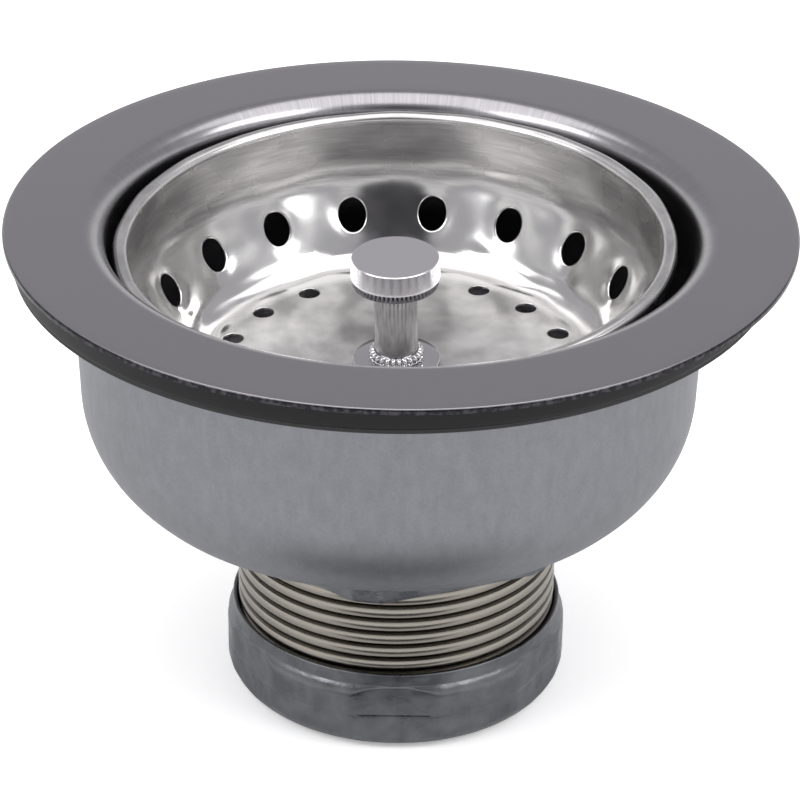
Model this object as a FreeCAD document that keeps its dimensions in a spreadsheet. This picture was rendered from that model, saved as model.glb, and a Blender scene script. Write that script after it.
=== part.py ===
import FreeCAD, Part
import math
import os

import Sketcher
from FreeCAD import Placement, Rotation, Vector

# A double-cup basket strainer waste for a sink outlet, standing on its coupling nut.
# Origin: centre of the coupling nut's lower face. +Z points up to the sink, millimetres.

document = FreeCAD.newDocument("basket_strainer_waste")
sheet = document.addObject("Spreadsheet::Sheet", "Sizes")

SIZES = [
    ("flange_top", 75.0, "height of the flange's upper face"),
    ("flange_radius", 57.15, "outer radius of the sink flange"),
    ("flange_edge_round", 0.4, "rounding of the flange's upper outer edge"),
    ("bowl_wall", 0.8, "sheet thickness of flange and bowl"),
    ("mouth_radius", 42.6, "inner radius of the bowl at its mouth"),
    ("mouth_round", 3.4, "rounding from the flange down into the bowl"),
    ("bowl_taper", 1.4, "how much the bowl's wall draws in on its way down"),
    ("bowl_depth", 37.6, "flange top to the bowl's inner floor"),
    ("bowl_corner", 12.0, "inner rounding from the bowl's wall to its floor"),
    ("neck_radius", 20.2, "inner radius of the neck drawn down from the bowl's floor"),
    ("neck_length", 5.0, "length of the neck below the bowl's inner floor"),
    ("neck_round", 1.5, "rounding from the bowl's floor into the neck"),
    ("thread_radius", 23.8, "crest radius of the outlet stub's thread"),
    ("stub_bore_gap", 0.05, "radial gap between the neck and the stub's bore"),
    ("stub_chamfer", 1.0, "chamfer at the stub's lower end"),
    ("cross_gap", 0.05, "radial gap between the crosspiece and the neck"),
    ("cross_ring_width", 1.75, "radial width of the crosspiece's outer ring"),
    ("cross_thickness", 2.5, "height of the crosspiece"),
    ("cross_drop", 3.4, "bowl's inner floor to the crosspiece's middle plane"),
    ("cross_arm_width", 3.0, "width of each arm of the crosspiece"),
    ("cross_arm_count", 4, "number of arms"),
    ("cross_boss_radius", 6.5, "radius of the boss in the middle of the crosspiece"),
    ("tip_hole_gap", 0.6, "radial play of the snap tip in the crosspiece"),
    ("gasket_width", 7.2, "radial width of the rubber sink gasket"),
    ("gasket_thickness", 3.45, "thickness of the sink gasket"),
    ("gasket_bore_gap", 2.0, "radial room between the gasket and the bowl's mouth rounding"),
    ("gasket_round", 0.5, "rounding of the gasket's outer edges"),
    ("gasket_shift", -0.9, "how far the loose gasket lies off centre along X"),
    ("friction_thickness", 0.6, "thickness of the friction ring"),
    ("friction_step", 0.3, "how far the friction ring stays inside the gasket's edge"),
    ("cup_shift", -1.5, "how far the loose outer cup hangs off centre along X"),
    ("cup_wall", 0.6, "sheet thickness of the outer cup"),
    ("cup_gap", 2.0, "radial room between the bowl and the cup at the mouth, both centred"),
    ("cup_taper", 1.2, "how much the cup's wall draws in down to its lower corner"),
    ("cup_lip_width", 2.8, "how far the lip turns out from the cup's wall"),
    ("cup_lip_round", 0.9, "outer rounding between the wall and the lip"),
    ("cup_floor_gap", 2.0, "bowl's underside to the cup's lower face"),
    ("cup_bevel", 7.44, "width of the sloped band that the two corner arcs share"),
    ("cup_bevel_angle", 45.0, "slope of that band above level, in degrees"),
    ("cup_upper_arc", 17.5, "radius of the arc from the wall into the corner"),
    ("cup_lower_arc", 7.0, "radius of the arc from the corner into the bottom"),
    ("cup_hole_gap", 0.4, "least gap between the cup's hole and the stub's thread"),
    ("locknut_height", 7.8, "total height of the locknut"),
    ("locknut_flange_width", 6.6, "radial width of the locknut's bearing flange"),
    ("locknut_flange_height", 3.4, "height of the bearing flange"),
    ("locknut_wall", 0.9, "wall between the locknut's bore and each wrench flat"),
    ("locknut_corner_count", 6, "number of wrench corners"),
    ("locknut_corner_cut", 1.25, "how far each wrench corner is cut back"),
    ("locknut_corner_round", 0.6, "rounding of the edges that the cut leaves"),
    ("locknut_corner_heading", -98.5, "direction of one wrench corner, in degrees"),
    ("thread_gap", 0.1, "radial running gap of both nuts on the thread"),
    ("coupling_height", 13.0, "height of the coupling nut"),
    ("coupling_radius", 25.4, "outer radius of the coupling nut"),
    ("coupling_flat", 24.65, "distance of each wrench flat from the axis"),
    ("coupling_flat_count", 6, "number of wrench flats"),
    ("coupling_lip_height", 2.6, "height of the inward lip at the nut's bottom"),
    ("coupling_hole_radius", 19.6, "radius of the hole that the tailpiece passes"),
    ("coupling_foot_round", 3.9, "rounding of the nut's lower outer edge"),
    ("coupling_collar_height", 2.0, "height of the round collar at the nut's top"),
    ("coupling_collar_inset", 0.8, "how far the collar stands back from the nut's side"),
    ("coupling_slope", 0.9, "height of the slope from the nut's side up to the collar"),
    ("coupling_mouth_inset", 0.3, "how far the bore opens out at the nut's top"),
    ("parting_line_height", 6.0, "height of the cast parting line on the flats"),
    ("parting_line_width", 0.3, "height of the parting line's bead"),
    ("parting_line_depth", 0.25, "how far the parting line stands out of a flat"),
    ("parting_line_angle", 12.0, "half the angle that the parting line spans on a flat, in degrees"),
    ("tail_washer_thickness", 2.0, "thickness of the tailpiece washer"),
    ("tail_washer_gap", 0.1, "radial room of the washer in the nut and round the tailpiece"),
    ("lean_angle", 2.58, "how far the loosely seated basket leans, in degrees"),
    ("lean_heading", -119.0, "direction the basket leans to, in degrees"),
    ("basket_sheet", 0.5, "sheet thickness of the basket"),
    ("basket_rise", 18.6, "basket's floor at the post above the crosspiece's middle"),
    ("floor_crown", 1.3, "how much lower the basket's floor lies at its edge"),
    ("shoulder_rise", 2.9, "basket floor at the post to where the lower wall turns out"),
    ("shoulder_angle", 42.0, "slope of the shoulder above level, in degrees"),
    ("shoulder_width", 5.2, "radial width of the shoulder, from the lower to the upper wall"),
    ("floor_round", 1.6, "inner rounding from the floor to the lower wall"),
    ("shoulder_round", 2.0, "rounding from the lower wall into the shoulder, outside"),
    ("shoulder_top_round", 4.5, "inner rounding from the shoulder into the upper wall"),
    ("rim_gap", 2.0, "radial room between the bowl's mouth and the basket's rim, both centred"),
    ("rim_roll_width", 2.3, "radial width of the rolled rim, from the upper wall out"),
    ("rim_sink", 1.9, "flange's upper face to the top of the rolled rim"),
    ("rim_skirt", 1.8, "height of the rolled rim"),
    ("wall_hole_count", 18, "number of large holes in the shoulder"),
    ("wall_hole_offset", 2.4, "circle of large holes outside the lower wall"),
    ("wall_hole_radius", 2.05, "radius of each large hole, punched straight down"),
    ("floor_hole_count", 18, "number of small holes in the floor"),
    ("floor_hole_inset", 7.5, "circle of small holes inside the lower wall"),
    ("floor_hole_radius", 1.55, "radius of each small hole"),
    ("hole_heading", 101.4, "direction of the first hole of both circles, in degrees"),
    ("post_radius", 3.2, "radius of the post under the knob"),
    ("stud_radius", 2.5, "radius of the post's stud below the basket's floor"),
    ("stud_gap", 0.05, "radial gap of everything threaded on the stud"),
    ("stud_reach", 3.5, "how far the stud goes below the crosspiece's middle"),
    ("spigot_radius", 2.0, "radius of the spigot that holds the knob"),
    ("spigot_length", 2.4, "length of that spigot"),
    ("spigot_gap", 0.03, "radial gap of the spigot in the knob"),
    ("knob_radius", 6.35, "radius of the knob"),
    ("knob_sink", 5.37, "flange's upper face to the knob's upper face"),
    ("knob_side", 3.1, "height of the knob's polished side"),
    ("knob_round", 0.35, "rounding of the knob's edges"),
    ("grip_radius", 6.05, "radius of the knurled band under the knob"),
    ("grip_height", 1.2, "height of the knurled band"),
    ("grip_count", 60, "number of knurl grooves round the knob"),
    ("grip_depth", 0.3, "depth of the knurl grooves of the knob"),
    ("post_washer_radius", 6.4, "radius of the thin washer on the basket's floor"),
    ("post_washer_thickness", 0.4, "thickness of that washer"),
    ("collar_radius", 4.05, "radius of the knurled collar round the post's foot"),
    ("collar_height", 1.6, "height of the knurled collar"),
    ("collar_round", 0.3, "bevel of the collar's upper edge"),
    ("collar_count", 40, "number of knurl grooves round the collar"),
    ("collar_depth", 0.28, "depth of the collar's knurl grooves"),
    ("backing_radius", 11.0, "radius of the metal dish above the stopper"),
    ("backing_thickness", 0.8, "thickness of that dish"),
    ("stopper_hub_radius", 9.0, "radius of the rubber stopper's hub"),
    ("stopper_hub_height", 8.3, "height of the stopper's hub"),
    ("stopper_overlap", 6.8, "how far the stopper's sealing skirt reaches past the neck"),
    ("stopper_skirt", 2.4, "thickness of the sealing skirt"),
    ("stopper_slope", 3.4, "fall of the skirt from the hub to its edge"),
    ("stopper_drop", 2.9, "hub top to the skirt's upper face at the hub"),
    ("stopper_edge_round", 0.8, "rounding of the skirt's edge"),
    ("stopper_washer_radius", 8.0, "radius of the metal washer under the stopper"),
    ("stopper_washer_thickness", 1.0, "thickness of that washer"),
    ("post_nut_flats", 10.0, "width across the flats of the retaining nut"),
    ("post_nut_sides", 6, "number of flats of the retaining nut"),
    ("post_nut_height", 3.0, "height of the retaining nut"),
    ("tip_radius", 3.6, "radius of the nylon snap tip"),
    ("tip_nose", 1.5, "how far the tip's nose goes below the stud"),
    ("tip_bevel", 1.2, "bevel of the tip's nose"),
    ("tip_slot_width", 0.8, "width of the crossed slots that let the tip spring"),
    ("tip_slot_height", 4.0, "height of those slots"),
]

for row, (alias, value, note) in enumerate(SIZES, start=1):
    sheet.set("A%d" % row, alias)
    sheet.set("B%d" % row, str(value))
    sheet.setAlias("B%d" % row, alias)
    sheet.set("C%d" % row, note)
document.recompute()


class Size:
    """A number together with the sheet formula that gives it."""

    def __init__(self, value, formula):
        self.value = float(value)
        self.formula = formula

    def __add__(self, other):
        other = as_size(other)
        return Size(self.value + other.value, "(%s + %s)" % (self.formula, other.formula))

    def __sub__(self, other):
        other = as_size(other)
        return Size(self.value - other.value, "(%s - %s)" % (self.formula, other.formula))

    def __mul__(self, other):
        other = as_size(other)
        return Size(self.value * other.value, "(%s * %s)" % (self.formula, other.formula))

    def __truediv__(self, other):
        other = as_size(other)
        return Size(self.value / other.value, "(%s / %s)" % (self.formula, other.formula))

    def __neg__(self):
        return Size(-self.value, "(0 - %s)" % self.formula)


def as_size(number):
    """A plain number as a Size; a Size stays as it is."""
    if isinstance(number, Size):
        return number
    return Size(number, repr(float(number)))


def size(alias):
    """The sheet's value of that name."""
    return Size(sheet.get(alias), "Sizes.%s" % alias)


def tangent(angle):
    """Tangent of a Size in degrees."""
    return Size(math.tan(math.radians(angle.value)), "tan(%s)" % angle.formula)


def cosine(angle):
    """Cosine of a Size in degrees."""
    return Size(math.cos(math.radians(angle.value)), "cos(%s)" % angle.formula)


def sine(angle):
    """Sine of a Size in degrees."""
    return Size(math.sin(math.radians(angle.value)), "sin(%s)" % angle.formula)


def bind(feature, name, amount):
    """Ties a property of a feature to the sheet."""
    amount = as_size(amount)
    setattr(feature, name, amount.value)
    feature.setExpression(name, amount.formula)


def start_body(name):
    """A new body; its label names the file it is written to."""
    body = document.addObject("PartDesign::Body", name)
    body.Label = name
    return body


def start_sketch(body, name, role="XZ_Plane"):
    """A sketch on one of the body's own origin planes."""
    sketch = body.newObject("Sketcher::SketchObject", name)
    plane = [item for item in body.Origin.OriginFeatures if item.Role == role][0]
    sketch.AttachmentSupport = [(plane, "")]
    sketch.MapMode = "FlatFace"
    return sketch


def place_point(sketch, element, spot, point):
    """Two constraints that hold a point at its sheet formula; a zero lies on the axis."""
    for kind, axis, amount in (("DistanceX", -2, point[0]), ("DistanceY", -1, point[1])):
        amount = as_size(amount)
        if amount.formula == "0.0":
            sketch.addConstraint(Sketcher.Constraint("PointOnObject", element, spot, axis))
            continue
        number = sketch.addConstraint(Sketcher.Constraint(kind, -1, 1, element, spot, amount.value))
        if "Sizes" in amount.formula:
            sketch.setExpression("Constraints[%d]" % number, amount.formula)


def corner_cut(before, corner, after, radius):
    """Where an arc of that radius leaves and meets the two sides of a corner, and its middle."""
    inward = (before - corner).normalize()
    outward = (after - corner).normalize()
    half = inward.getAngle(outward) / 2
    reach = radius / math.tan(half)
    middle = corner + (inward + outward).normalize() * (radius / math.sin(half))
    return corner + inward * reach, corner + outward * reach, middle


def draw_outline(sketch, corners):
    """A closed outline of straight sides; a corner with a third value is rounded to that radius.

    Each rounded corner keeps a construction point at its sharp place, which both sides pass
    through, and an arc tangent to both sides.
    """
    points = [Vector(as_size(c[0]).value, as_size(c[1]).value, 0) for c in corners]
    count = len(corners)
    leave = []
    arcs = {}
    for index, corner in enumerate(corners):
        here = points[index]
        if len(corner) < 3:
            leave.append((here, here))
            continue
        start, stop, middle = corner_cut(points[index - 1], here, points[(index + 1) % count],
                                         as_size(corner[2]).value)
        leave.append((start, stop))
        arcs[index] = middle
    sides = []
    for index in range(count):
        line = Part.LineSegment(leave[index][1], leave[(index + 1) % count][0])
        sides.append(sketch.addGeometry(line))
    for index, corner in enumerate(corners):
        before = sides[index - 1]
        after = sides[index]
        if index not in arcs:
            sketch.addConstraint(Sketcher.Constraint("Coincident", before, 2, after, 1))
            place_point(sketch, after, 1, corner)
            continue
        middle = arcs[index]
        start, stop = leave[index]
        from_angle = math.atan2(start.y - middle.y, start.x - middle.x)
        to_angle = math.atan2(stop.y - middle.y, stop.x - middle.x)
        turn = (to_angle - from_angle) % (2 * math.pi)
        left = turn < math.pi
        circle = Part.Circle(middle, Vector(0, 0, 1), as_size(corner[2]).value)
        if left:
            shape = Part.ArcOfCircle(circle, from_angle, from_angle + turn)
        else:
            shape = Part.ArcOfCircle(circle, to_angle, to_angle + 2 * math.pi - turn)
        arc = sketch.addGeometry(shape)
        first, last = (1, 2) if left else (2, 1)
        sketch.addConstraint(Sketcher.Constraint("Tangent", before, 2, arc, first))
        sketch.addConstraint(Sketcher.Constraint("Tangent", arc, last, after, 1))
        number = sketch.addConstraint(Sketcher.Constraint("Radius", arc, as_size(corner[2]).value))
        sketch.setExpression("Constraints[%d]" % number, as_size(corner[2]).formula)
        mark = sketch.addGeometry(Part.Point(points[index]), True)
        place_point(sketch, mark, 1, corner)
        sketch.addConstraint(Sketcher.Constraint("PointOnObject", mark, 1, before))
        sketch.addConstraint(Sketcher.Constraint("PointOnObject", mark, 1, after))


def draw_circle(sketch, centre, radius):
    """A circle held by its centre and radius."""
    radius = as_size(radius)
    middle = Vector(as_size(centre[0]).value, as_size(centre[1]).value, 0)
    number = sketch.addGeometry(Part.Circle(middle, Vector(0, 0, 1), radius.value))
    place_point(sketch, number, 3, centre)
    held = sketch.addConstraint(Sketcher.Constraint("Radius", number, radius.value))
    sketch.setExpression("Constraints[%d]" % held, radius.formula)


def revolve(body, name, corners):
    """A section, given as radius and height of its corners, turned round the body's Z axis."""
    sketch = start_sketch(body, name + "_section")
    draw_outline(sketch, corners)
    turned = body.newObject("PartDesign::Revolution", name)
    turned.Profile = sketch
    turned.ReferenceAxis = (sketch, ["V_Axis"])
    turned.Angle = 360
    return turned


def raise_sketch(sketch, height):
    """Moves a level sketch up its body's Z axis."""
    sketch.AttachmentOffset = Placement(Vector(0, 0, as_size(height).value), Rotation())
    sketch.setExpression("AttachmentOffset.Base.z", as_size(height).formula)


def pad(body, name, sketch, height):
    """Adds the sketch's area upwards over that height."""
    solid = body.newObject("PartDesign::Pad", name)
    solid.Profile = sketch
    bind(solid, "Length", height)
    return solid


def pocket(body, name, sketch, height):
    """Removes the sketch's area upwards over that height, and makes sure that something went."""
    before = body.Shape.Volume
    cut = body.newObject("PartDesign::Pocket", name)
    cut.Profile = sketch
    cut.Reversed = True
    bind(cut, "Length", height)
    document.recompute()
    if body.Shape.Volume >= before - 1e-6:
        raise ValueError("the pocket %s removes nothing" % name)
    return cut


def repeat(body, name, feature, sketch, count):
    """Copies a feature evenly round the body's Z axis."""
    pattern = body.newObject("PartDesign::PolarPattern", name)
    pattern.Originals = [feature]
    pattern.Axis = (sketch, ["N_Axis"])
    pattern.Angle = 360
    count = as_size(count)
    pattern.Occurrences = int(count.value)
    pattern.setExpression("Occurrences", count.formula)
    body.Tip = pattern
    document.recompute()
    return pattern


def polygon(count, corner_radius, heading):
    """Corners of a regular polygon round the axis; heading is the first corner's direction."""
    corners = []
    for index in range(int(count)):
        angle = heading + as_size(360.0 * index / count)
        corners.append((corner_radius * cosine(angle), corner_radius * sine(angle)))
    return corners


def bowl_floor():
    return size("flange_top") - size("bowl_depth")


def cross_level():
    """Height of the crosspiece's middle plane, where the basket's axis leans."""
    return bowl_floor() - size("cross_drop")


def make_strainer_body():
    """Flange, bowl and neck, drawn from one sheet."""
    wall = size("bowl_wall")
    top = size("flange_top")
    floor = bowl_floor()
    mouth = size("mouth_radius")
    foot = mouth - size("bowl_taper")
    neck = size("neck_radius")
    neck_end = floor - size("neck_length")
    body = start_body("strainer_body")
    revolve(body, "drawn_sheet", [
        (size("flange_radius"), top, size("flange_edge_round")),
        (mouth, top, size("mouth_round")),
        (foot, floor, size("bowl_corner")),
        (neck, floor, size("neck_round")),
        (neck, neck_end),
        (neck + wall, neck_end),
        (neck + wall, floor - wall, size("neck_round") - wall),
        (foot + wall, floor - wall, size("bowl_corner") + wall),
        (mouth + wall, top - wall, size("mouth_round") - wall),
        (size("flange_radius"), top - wall),
    ])
    return body


def make_outlet_stub():
    """Threaded tube brazed under the bowl, round the neck; drawn at the thread's crests."""
    bore = size("neck_radius") + size("bowl_wall") + size("stub_bore_gap")
    crest = size("thread_radius")
    low = size("coupling_lip_height") + size("tail_washer_thickness")
    high = bowl_floor() - size("bowl_wall")
    bevel = size("stub_chamfer")
    # The bore opens out at the top to clear the rounding where the neck leaves the bowl.
    relief = size("neck_round") - size("bowl_wall") + size("stub_bore_gap")
    body = start_body("outlet_stub")
    revolve(body, "tube", [
        (bore, low),
        (crest - bevel, low),
        (crest, low + bevel),
        (crest, high),
        (bore + relief, high),
        (bore, high - relief),
    ])
    return body


def make_crosspiece():
    """Ring with arms and a bored boss that the basket's tip snaps into."""
    outer = size("neck_radius") - size("cross_gap")
    inner = outer - size("cross_ring_width")
    low = cross_level() - size("cross_thickness") / 2
    height = size("cross_thickness")
    half = size("cross_arm_width") / 2
    body = start_body("crosspiece")
    ring = start_sketch(body, "ring_outline", "XY_Plane")
    raise_sketch(ring, low)
    draw_circle(ring, (0, 0), outer)
    draw_circle(ring, (0, 0), inner)
    pad(body, "ring", ring, height)
    boss = start_sketch(body, "boss_outline", "XY_Plane")
    raise_sketch(boss, low)
    draw_circle(boss, (0, 0), size("cross_boss_radius"))
    pad(body, "boss", boss, height)
    document.recompute()
    arm = start_sketch(body, "arm_outline", "XY_Plane")
    raise_sketch(arm, low)
    start = size("cross_boss_radius") - half
    stop = inner + size("cross_ring_width") / 2
    draw_outline(arm, [(start, -half), (stop, -half), (stop, half), (start, half)])
    first_arm = pad(body, "arm", arm, height)
    document.recompute()
    repeat(body, "arms", first_arm, arm, size("cross_arm_count"))
    hole = start_sketch(body, "tip_hole_outline", "XY_Plane")
    raise_sketch(hole, low)
    draw_circle(hole, (0, 0), size("tip_radius") + size("tip_hole_gap"))
    pocket(body, "tip_hole", hole, height)
    body.Placement = Placement(Vector(0, 0, 0), Rotation(Vector(0, 0, 1), 180 / sheet.get("cross_arm_count")))
    return body


def gasket_top():
    return size("flange_top") - size("bowl_wall")


def gasket_bore():
    return size("mouth_radius") + size("mouth_round") + size("gasket_bore_gap")


def gasket_edge():
    return gasket_bore() + size("gasket_width")


def gasket_low():
    return gasket_top() - size("gasket_thickness")


def friction_low():
    return gasket_low() - size("friction_thickness")


def shifted(body, alias):
    """Hangs a loose ring or cup off centre along X by the sheet's value."""
    body.Placement = Placement(Vector(sheet.get(alias), 0, 0), Rotation())
    body.setExpression("Placement.Base.x", "Sizes.%s" % alias)
    return body


def make_sink_gasket():
    """Rubber ring under the flange."""
    bore = gasket_bore()
    edge = gasket_edge()
    soft = size("gasket_round")
    body = start_body("sink_gasket")
    revolve(body, "ring", [
        (bore, gasket_low()),
        (edge, gasket_low(), soft),
        (edge, gasket_top(), soft),
        (bore, gasket_top()),
    ])
    return shifted(body, "gasket_shift")


def make_friction_ring():
    """Thin fibre ring that lets the cup's lip turn against the gasket."""
    edge = gasket_edge() - size("friction_step")
    bore = gasket_bore()
    body = start_body("friction_ring")
    revolve(body, "ring", [
        (bore, friction_low()),
        (edge, friction_low()),
        (edge, gasket_low()),
        (bore, gasket_low()),
    ])
    return shifted(body, "gasket_shift")


def cup_bottom():
    """Height of the cup's lower face, which the locknut's flange bears on."""
    return bowl_floor() - size("bowl_wall") - size("cup_floor_gap")


def make_outer_cup():
    """Deep drawn cup with an out-turned lip and a hole for the stub."""
    wall = size("cup_wall")
    top = friction_low()
    low = cup_bottom()
    bevel = size("cup_bevel")
    bevel_rise = bevel * tangent(size("cup_bevel_angle"))
    upper = size("mouth_radius") + size("bowl_wall") + size("cup_gap") + wall
    lower = upper - size("cup_taper")
    lip = upper + size("cup_lip_width")
    # The cup hangs off centre, so its hole is larger by that shift.
    hole = size("thread_radius") + size("cup_hole_gap") - size("cup_shift")
    # The inner skin's corners lie off the outer skin's by these shares of the wall.
    low_share = tangent(size("cup_bevel_angle") / 2)
    high_share = tangent((as_size(90) - size("cup_bevel_angle")) / 2)
    body = start_body("outer_cup")
    revolve(body, "drawn_cup", [
        (lip, top),
        (lip, top - wall),
        (upper, top - wall, size("cup_lip_round")),
        (lower, low + bevel_rise, size("cup_upper_arc")),
        (lower - bevel, low, size("cup_lower_arc")),
        (hole, low),
        (hole, low + wall),
        (lower - bevel - wall * low_share, low + wall, size("cup_lower_arc") - wall),
        (lower - wall, low + bevel_rise + wall * high_share, size("cup_upper_arc") - wall),
        (upper - wall, top, size("cup_lip_round") + wall),
    ])
    return shifted(body, "cup_shift")


def make_locknut():
    """Cast nut with a bearing flange above a hexagon whose corners are cut flat."""
    bore = size("thread_radius") + size("thread_gap")
    flange = bore + size("locknut_flange_width")
    high = cup_bottom()
    low = high - size("locknut_height")
    under = high - size("locknut_flange_height")
    body = start_body("locknut")
    revolve(body, "flange", [(bore, under), (flange, under), (flange, high), (bore, high)])
    document.recompute()
    hexagon = start_sketch(body, "wrench_outline", "XY_Plane")
    raise_sketch(hexagon, low)
    count = int(sheet.get("locknut_corner_count"))
    half = as_size(180) / size("locknut_corner_count")
    sharp = (bore + size("locknut_wall")) / cosine(half)
    reach = sharp - size("locknut_corner_cut")
    side = size("locknut_corner_cut") / tangent(half)
    corners = []
    for index in range(count):
        heading = size("locknut_corner_heading") + as_size(360.0 * index / count)
        for across in (-side, side):
            corners.append((reach * cosine(heading) - across * sine(heading),
                            reach * sine(heading) + across * cosine(heading),
                            size("locknut_corner_round")))
    draw_outline(hexagon, corners)
    draw_circle(hexagon, (0, 0), bore)
    pad(body, "wrench_corners", hexagon, under - low)
    return body


def make_coupling_nut():
    """Cast slip nut: a round body with six wrench flats and an inward lip at the bottom."""
    bore = size("thread_radius") + size("thread_gap")
    edge = size("coupling_radius")
    top = size("coupling_height")
    lip = size("coupling_lip_height")
    collar = edge - size("coupling_collar_inset")
    collar_low = top - size("coupling_collar_height")
    mouth = size("coupling_mouth_inset")
    body = start_body("coupling_nut")
    revolve(body, "round_body", [
        (size("coupling_hole_radius"), as_size(0)),
        (edge, as_size(0), size("coupling_foot_round")),
        (edge, collar_low - size("coupling_slope")),
        (collar, collar_low),
        (collar, top),
        (bore + mouth, top),
        (bore, top - mouth),
        (bore, lip),
        (size("coupling_hole_radius"), lip),
    ])
    document.recompute()
    flat = start_sketch(body, "flat_outline", "XY_Plane")
    reach = edge / 2
    near = -size("coupling_flat")
    far = -edge - size("coupling_foot_round")
    draw_outline(flat, [(-reach, far), (reach, far), (reach, near), (-reach, near)])
    first_flat = pocket(body, "flat", flat, top)
    repeat(body, "flats", first_flat, flat, size("coupling_flat_count"))
    bead = start_sketch(body, "parting_outline", "XY_Plane")
    raise_sketch(bead, size("parting_line_height"))
    half = edge * sine(size("parting_line_angle"))
    proud = near - size("parting_line_depth")
    inner = near + (size("coupling_flat") - bore) / 2
    draw_outline(bead, [(-half, proud), (half, proud), (half, inner), (-half, inner)])
    first_bead = pad(body, "parting_line", bead, size("parting_line_width"))
    document.recompute()
    repeat(body, "parting_lines", first_bead, bead, size("coupling_flat_count"))
    return body


def make_tail_washer():
    """Flat washer between the stub's end and the tailpiece's flange."""
    bore = size("coupling_hole_radius") + size("tail_washer_gap")
    edge = size("thread_radius") - size("tail_washer_gap")
    low = size("coupling_lip_height")
    high = low + size("tail_washer_thickness")
    body = start_body("tail_washer")
    revolve(body, "ring", [(bore, low), (edge, low), (edge, high), (bore, high)])
    return body


def leaning(body):
    """Puts a piece of the basket on the crosspiece and leans it."""
    heading = math.radians(sheet.get("lean_heading"))
    axis = Vector(-math.sin(heading), math.cos(heading), 0)
    pivot = Vector(0, 0, cross_level().value)
    body.Placement = Placement(pivot, Rotation(axis, sheet.get("lean_angle")))
    return body


def rim_radius():
    """Outer radius of the basket's rolled rim."""
    return size("mouth_radius") - size("rim_gap")


def upper_wall_radius():
    """Inner radius of the basket's upper wall."""
    return rim_radius() - size("rim_roll_width")


def lower_wall_radius():
    """Inner radius of the basket's lower wall."""
    return upper_wall_radius() - size("shoulder_width")


def rim_height():
    """Top of the rolled rim above the crosspiece's middle."""
    return size("flange_top") - cross_level() - size("rim_sink")


def floor_height():
    """Upper face of the basket's floor at the post, above the crosspiece's middle."""
    return size("basket_rise")


def make_basket():
    """Perforated basket drawn from thin sheet, with a shoulder and a rolled rim."""
    sheet_wall = size("basket_sheet")
    middle = floor_height()
    edge = middle - size("floor_crown")
    low_wall = lower_wall_radius()
    high_wall = upper_wall_radius()
    slope = tangent(size("shoulder_angle"))
    turn_low = middle + size("shoulder_rise")
    turn_high = turn_low + (high_wall - low_wall) * slope
    # An offset of a corner between an upright wall and the shoulder moves down by this share.
    share = tangent((as_size(90) - size("shoulder_angle")) / 2)
    bend = size("shoulder_round")
    high_bend = size("shoulder_top_round")
    rim = rim_radius()
    top = rim_height()
    roll = (rim - high_wall) / 2
    rim_low = top - size("rim_skirt")
    hole = size("stud_radius") + size("stud_gap")
    body = start_body("basket")
    # The rolled rim's two quarter arcs are all but a full turn over, so a hair is left between.
    hair = as_size(0.02)
    revolve(body, "drawn_basket", [
        (hole, middle),
        (low_wall, edge, size("floor_round")),
        (low_wall, turn_low, bend + sheet_wall),
        (high_wall, turn_high, high_bend),
        (high_wall, top, roll - hair),
        (rim, top, roll - hair),
        (rim, rim_low),
        (rim - sheet_wall, rim_low),
        (rim - sheet_wall, top - sheet_wall, roll - sheet_wall - hair),
        (high_wall + sheet_wall, top - sheet_wall, roll - sheet_wall - hair),
        (high_wall + sheet_wall, turn_high - sheet_wall * share, high_bend + sheet_wall),
        (low_wall + sheet_wall, turn_low - sheet_wall * share, bend),
        (low_wall + sheet_wall, edge - sheet_wall, size("floor_round") + sheet_wall),
        (hole, middle - sheet_wall),
    ])
    document.recompute()
    heading = size("hole_heading")
    for name, radius, circle, count, low, high in (
        ("wall_hole", size("wall_hole_radius"), low_wall + size("wall_hole_offset"), size("wall_hole_count"),
         edge, turn_high + high_bend / 2),
        ("floor_hole", size("floor_hole_radius"), low_wall - size("floor_hole_inset"), size("floor_hole_count"),
         edge - sheet_wall * 2, middle + sheet_wall),
    ):
        punch = start_sketch(body, name + "_outline", "XY_Plane")
        raise_sketch(punch, low)
        draw_circle(punch, (circle * cosine(heading), circle * sine(heading)), radius)
        first_hole = pocket(body, name, punch, high - low)
        repeat(body, name + "s", first_hole, punch, count)
    return leaning(body)


def shoulder_level():
    """Underside of the post's shoulder: it bears on the thin washer."""
    return floor_height() + size("post_washer_thickness")


def knob_top():
    """Knob's upper face above the crosspiece's middle."""
    return size("flange_top") - cross_level() - size("knob_sink")


def knob_low():
    return knob_top() - size("knob_side") - size("grip_height")


def make_post():
    """Turned post: spigot for the knob, plain shank and the long stud below the floor."""
    shank = size("post_radius")
    stud = size("stud_radius")
    spigot = size("spigot_radius")
    body = start_body("post")
    revolve(body, "turned_post", [
        (as_size(0), -size("stud_reach")),
        (stud, -size("stud_reach")),
        (stud, shoulder_level()),
        (shank, shoulder_level()),
        (shank, knob_low()),
        (spigot, knob_low()),
        (spigot, knob_low() + size("spigot_length")),
        (as_size(0), knob_low() + size("spigot_length")),
    ])
    return leaning(body)


def cut_knurl(body, name, radius, depth, count, low, height):
    """V grooves along the axis, evenly round a band of that radius."""
    groove = start_sketch(body, name + "_outline", "XY_Plane")
    raise_sketch(groove, low)
    half = radius * tangent(as_size(180) / count) * 0.9
    proud = radius + depth / 4
    draw_outline(groove, [(radius - depth, as_size(0)), (proud, -half), (proud, half)])
    first_groove = pocket(body, name, groove, height)
    repeat(body, name + "s", first_groove, groove, count)


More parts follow.
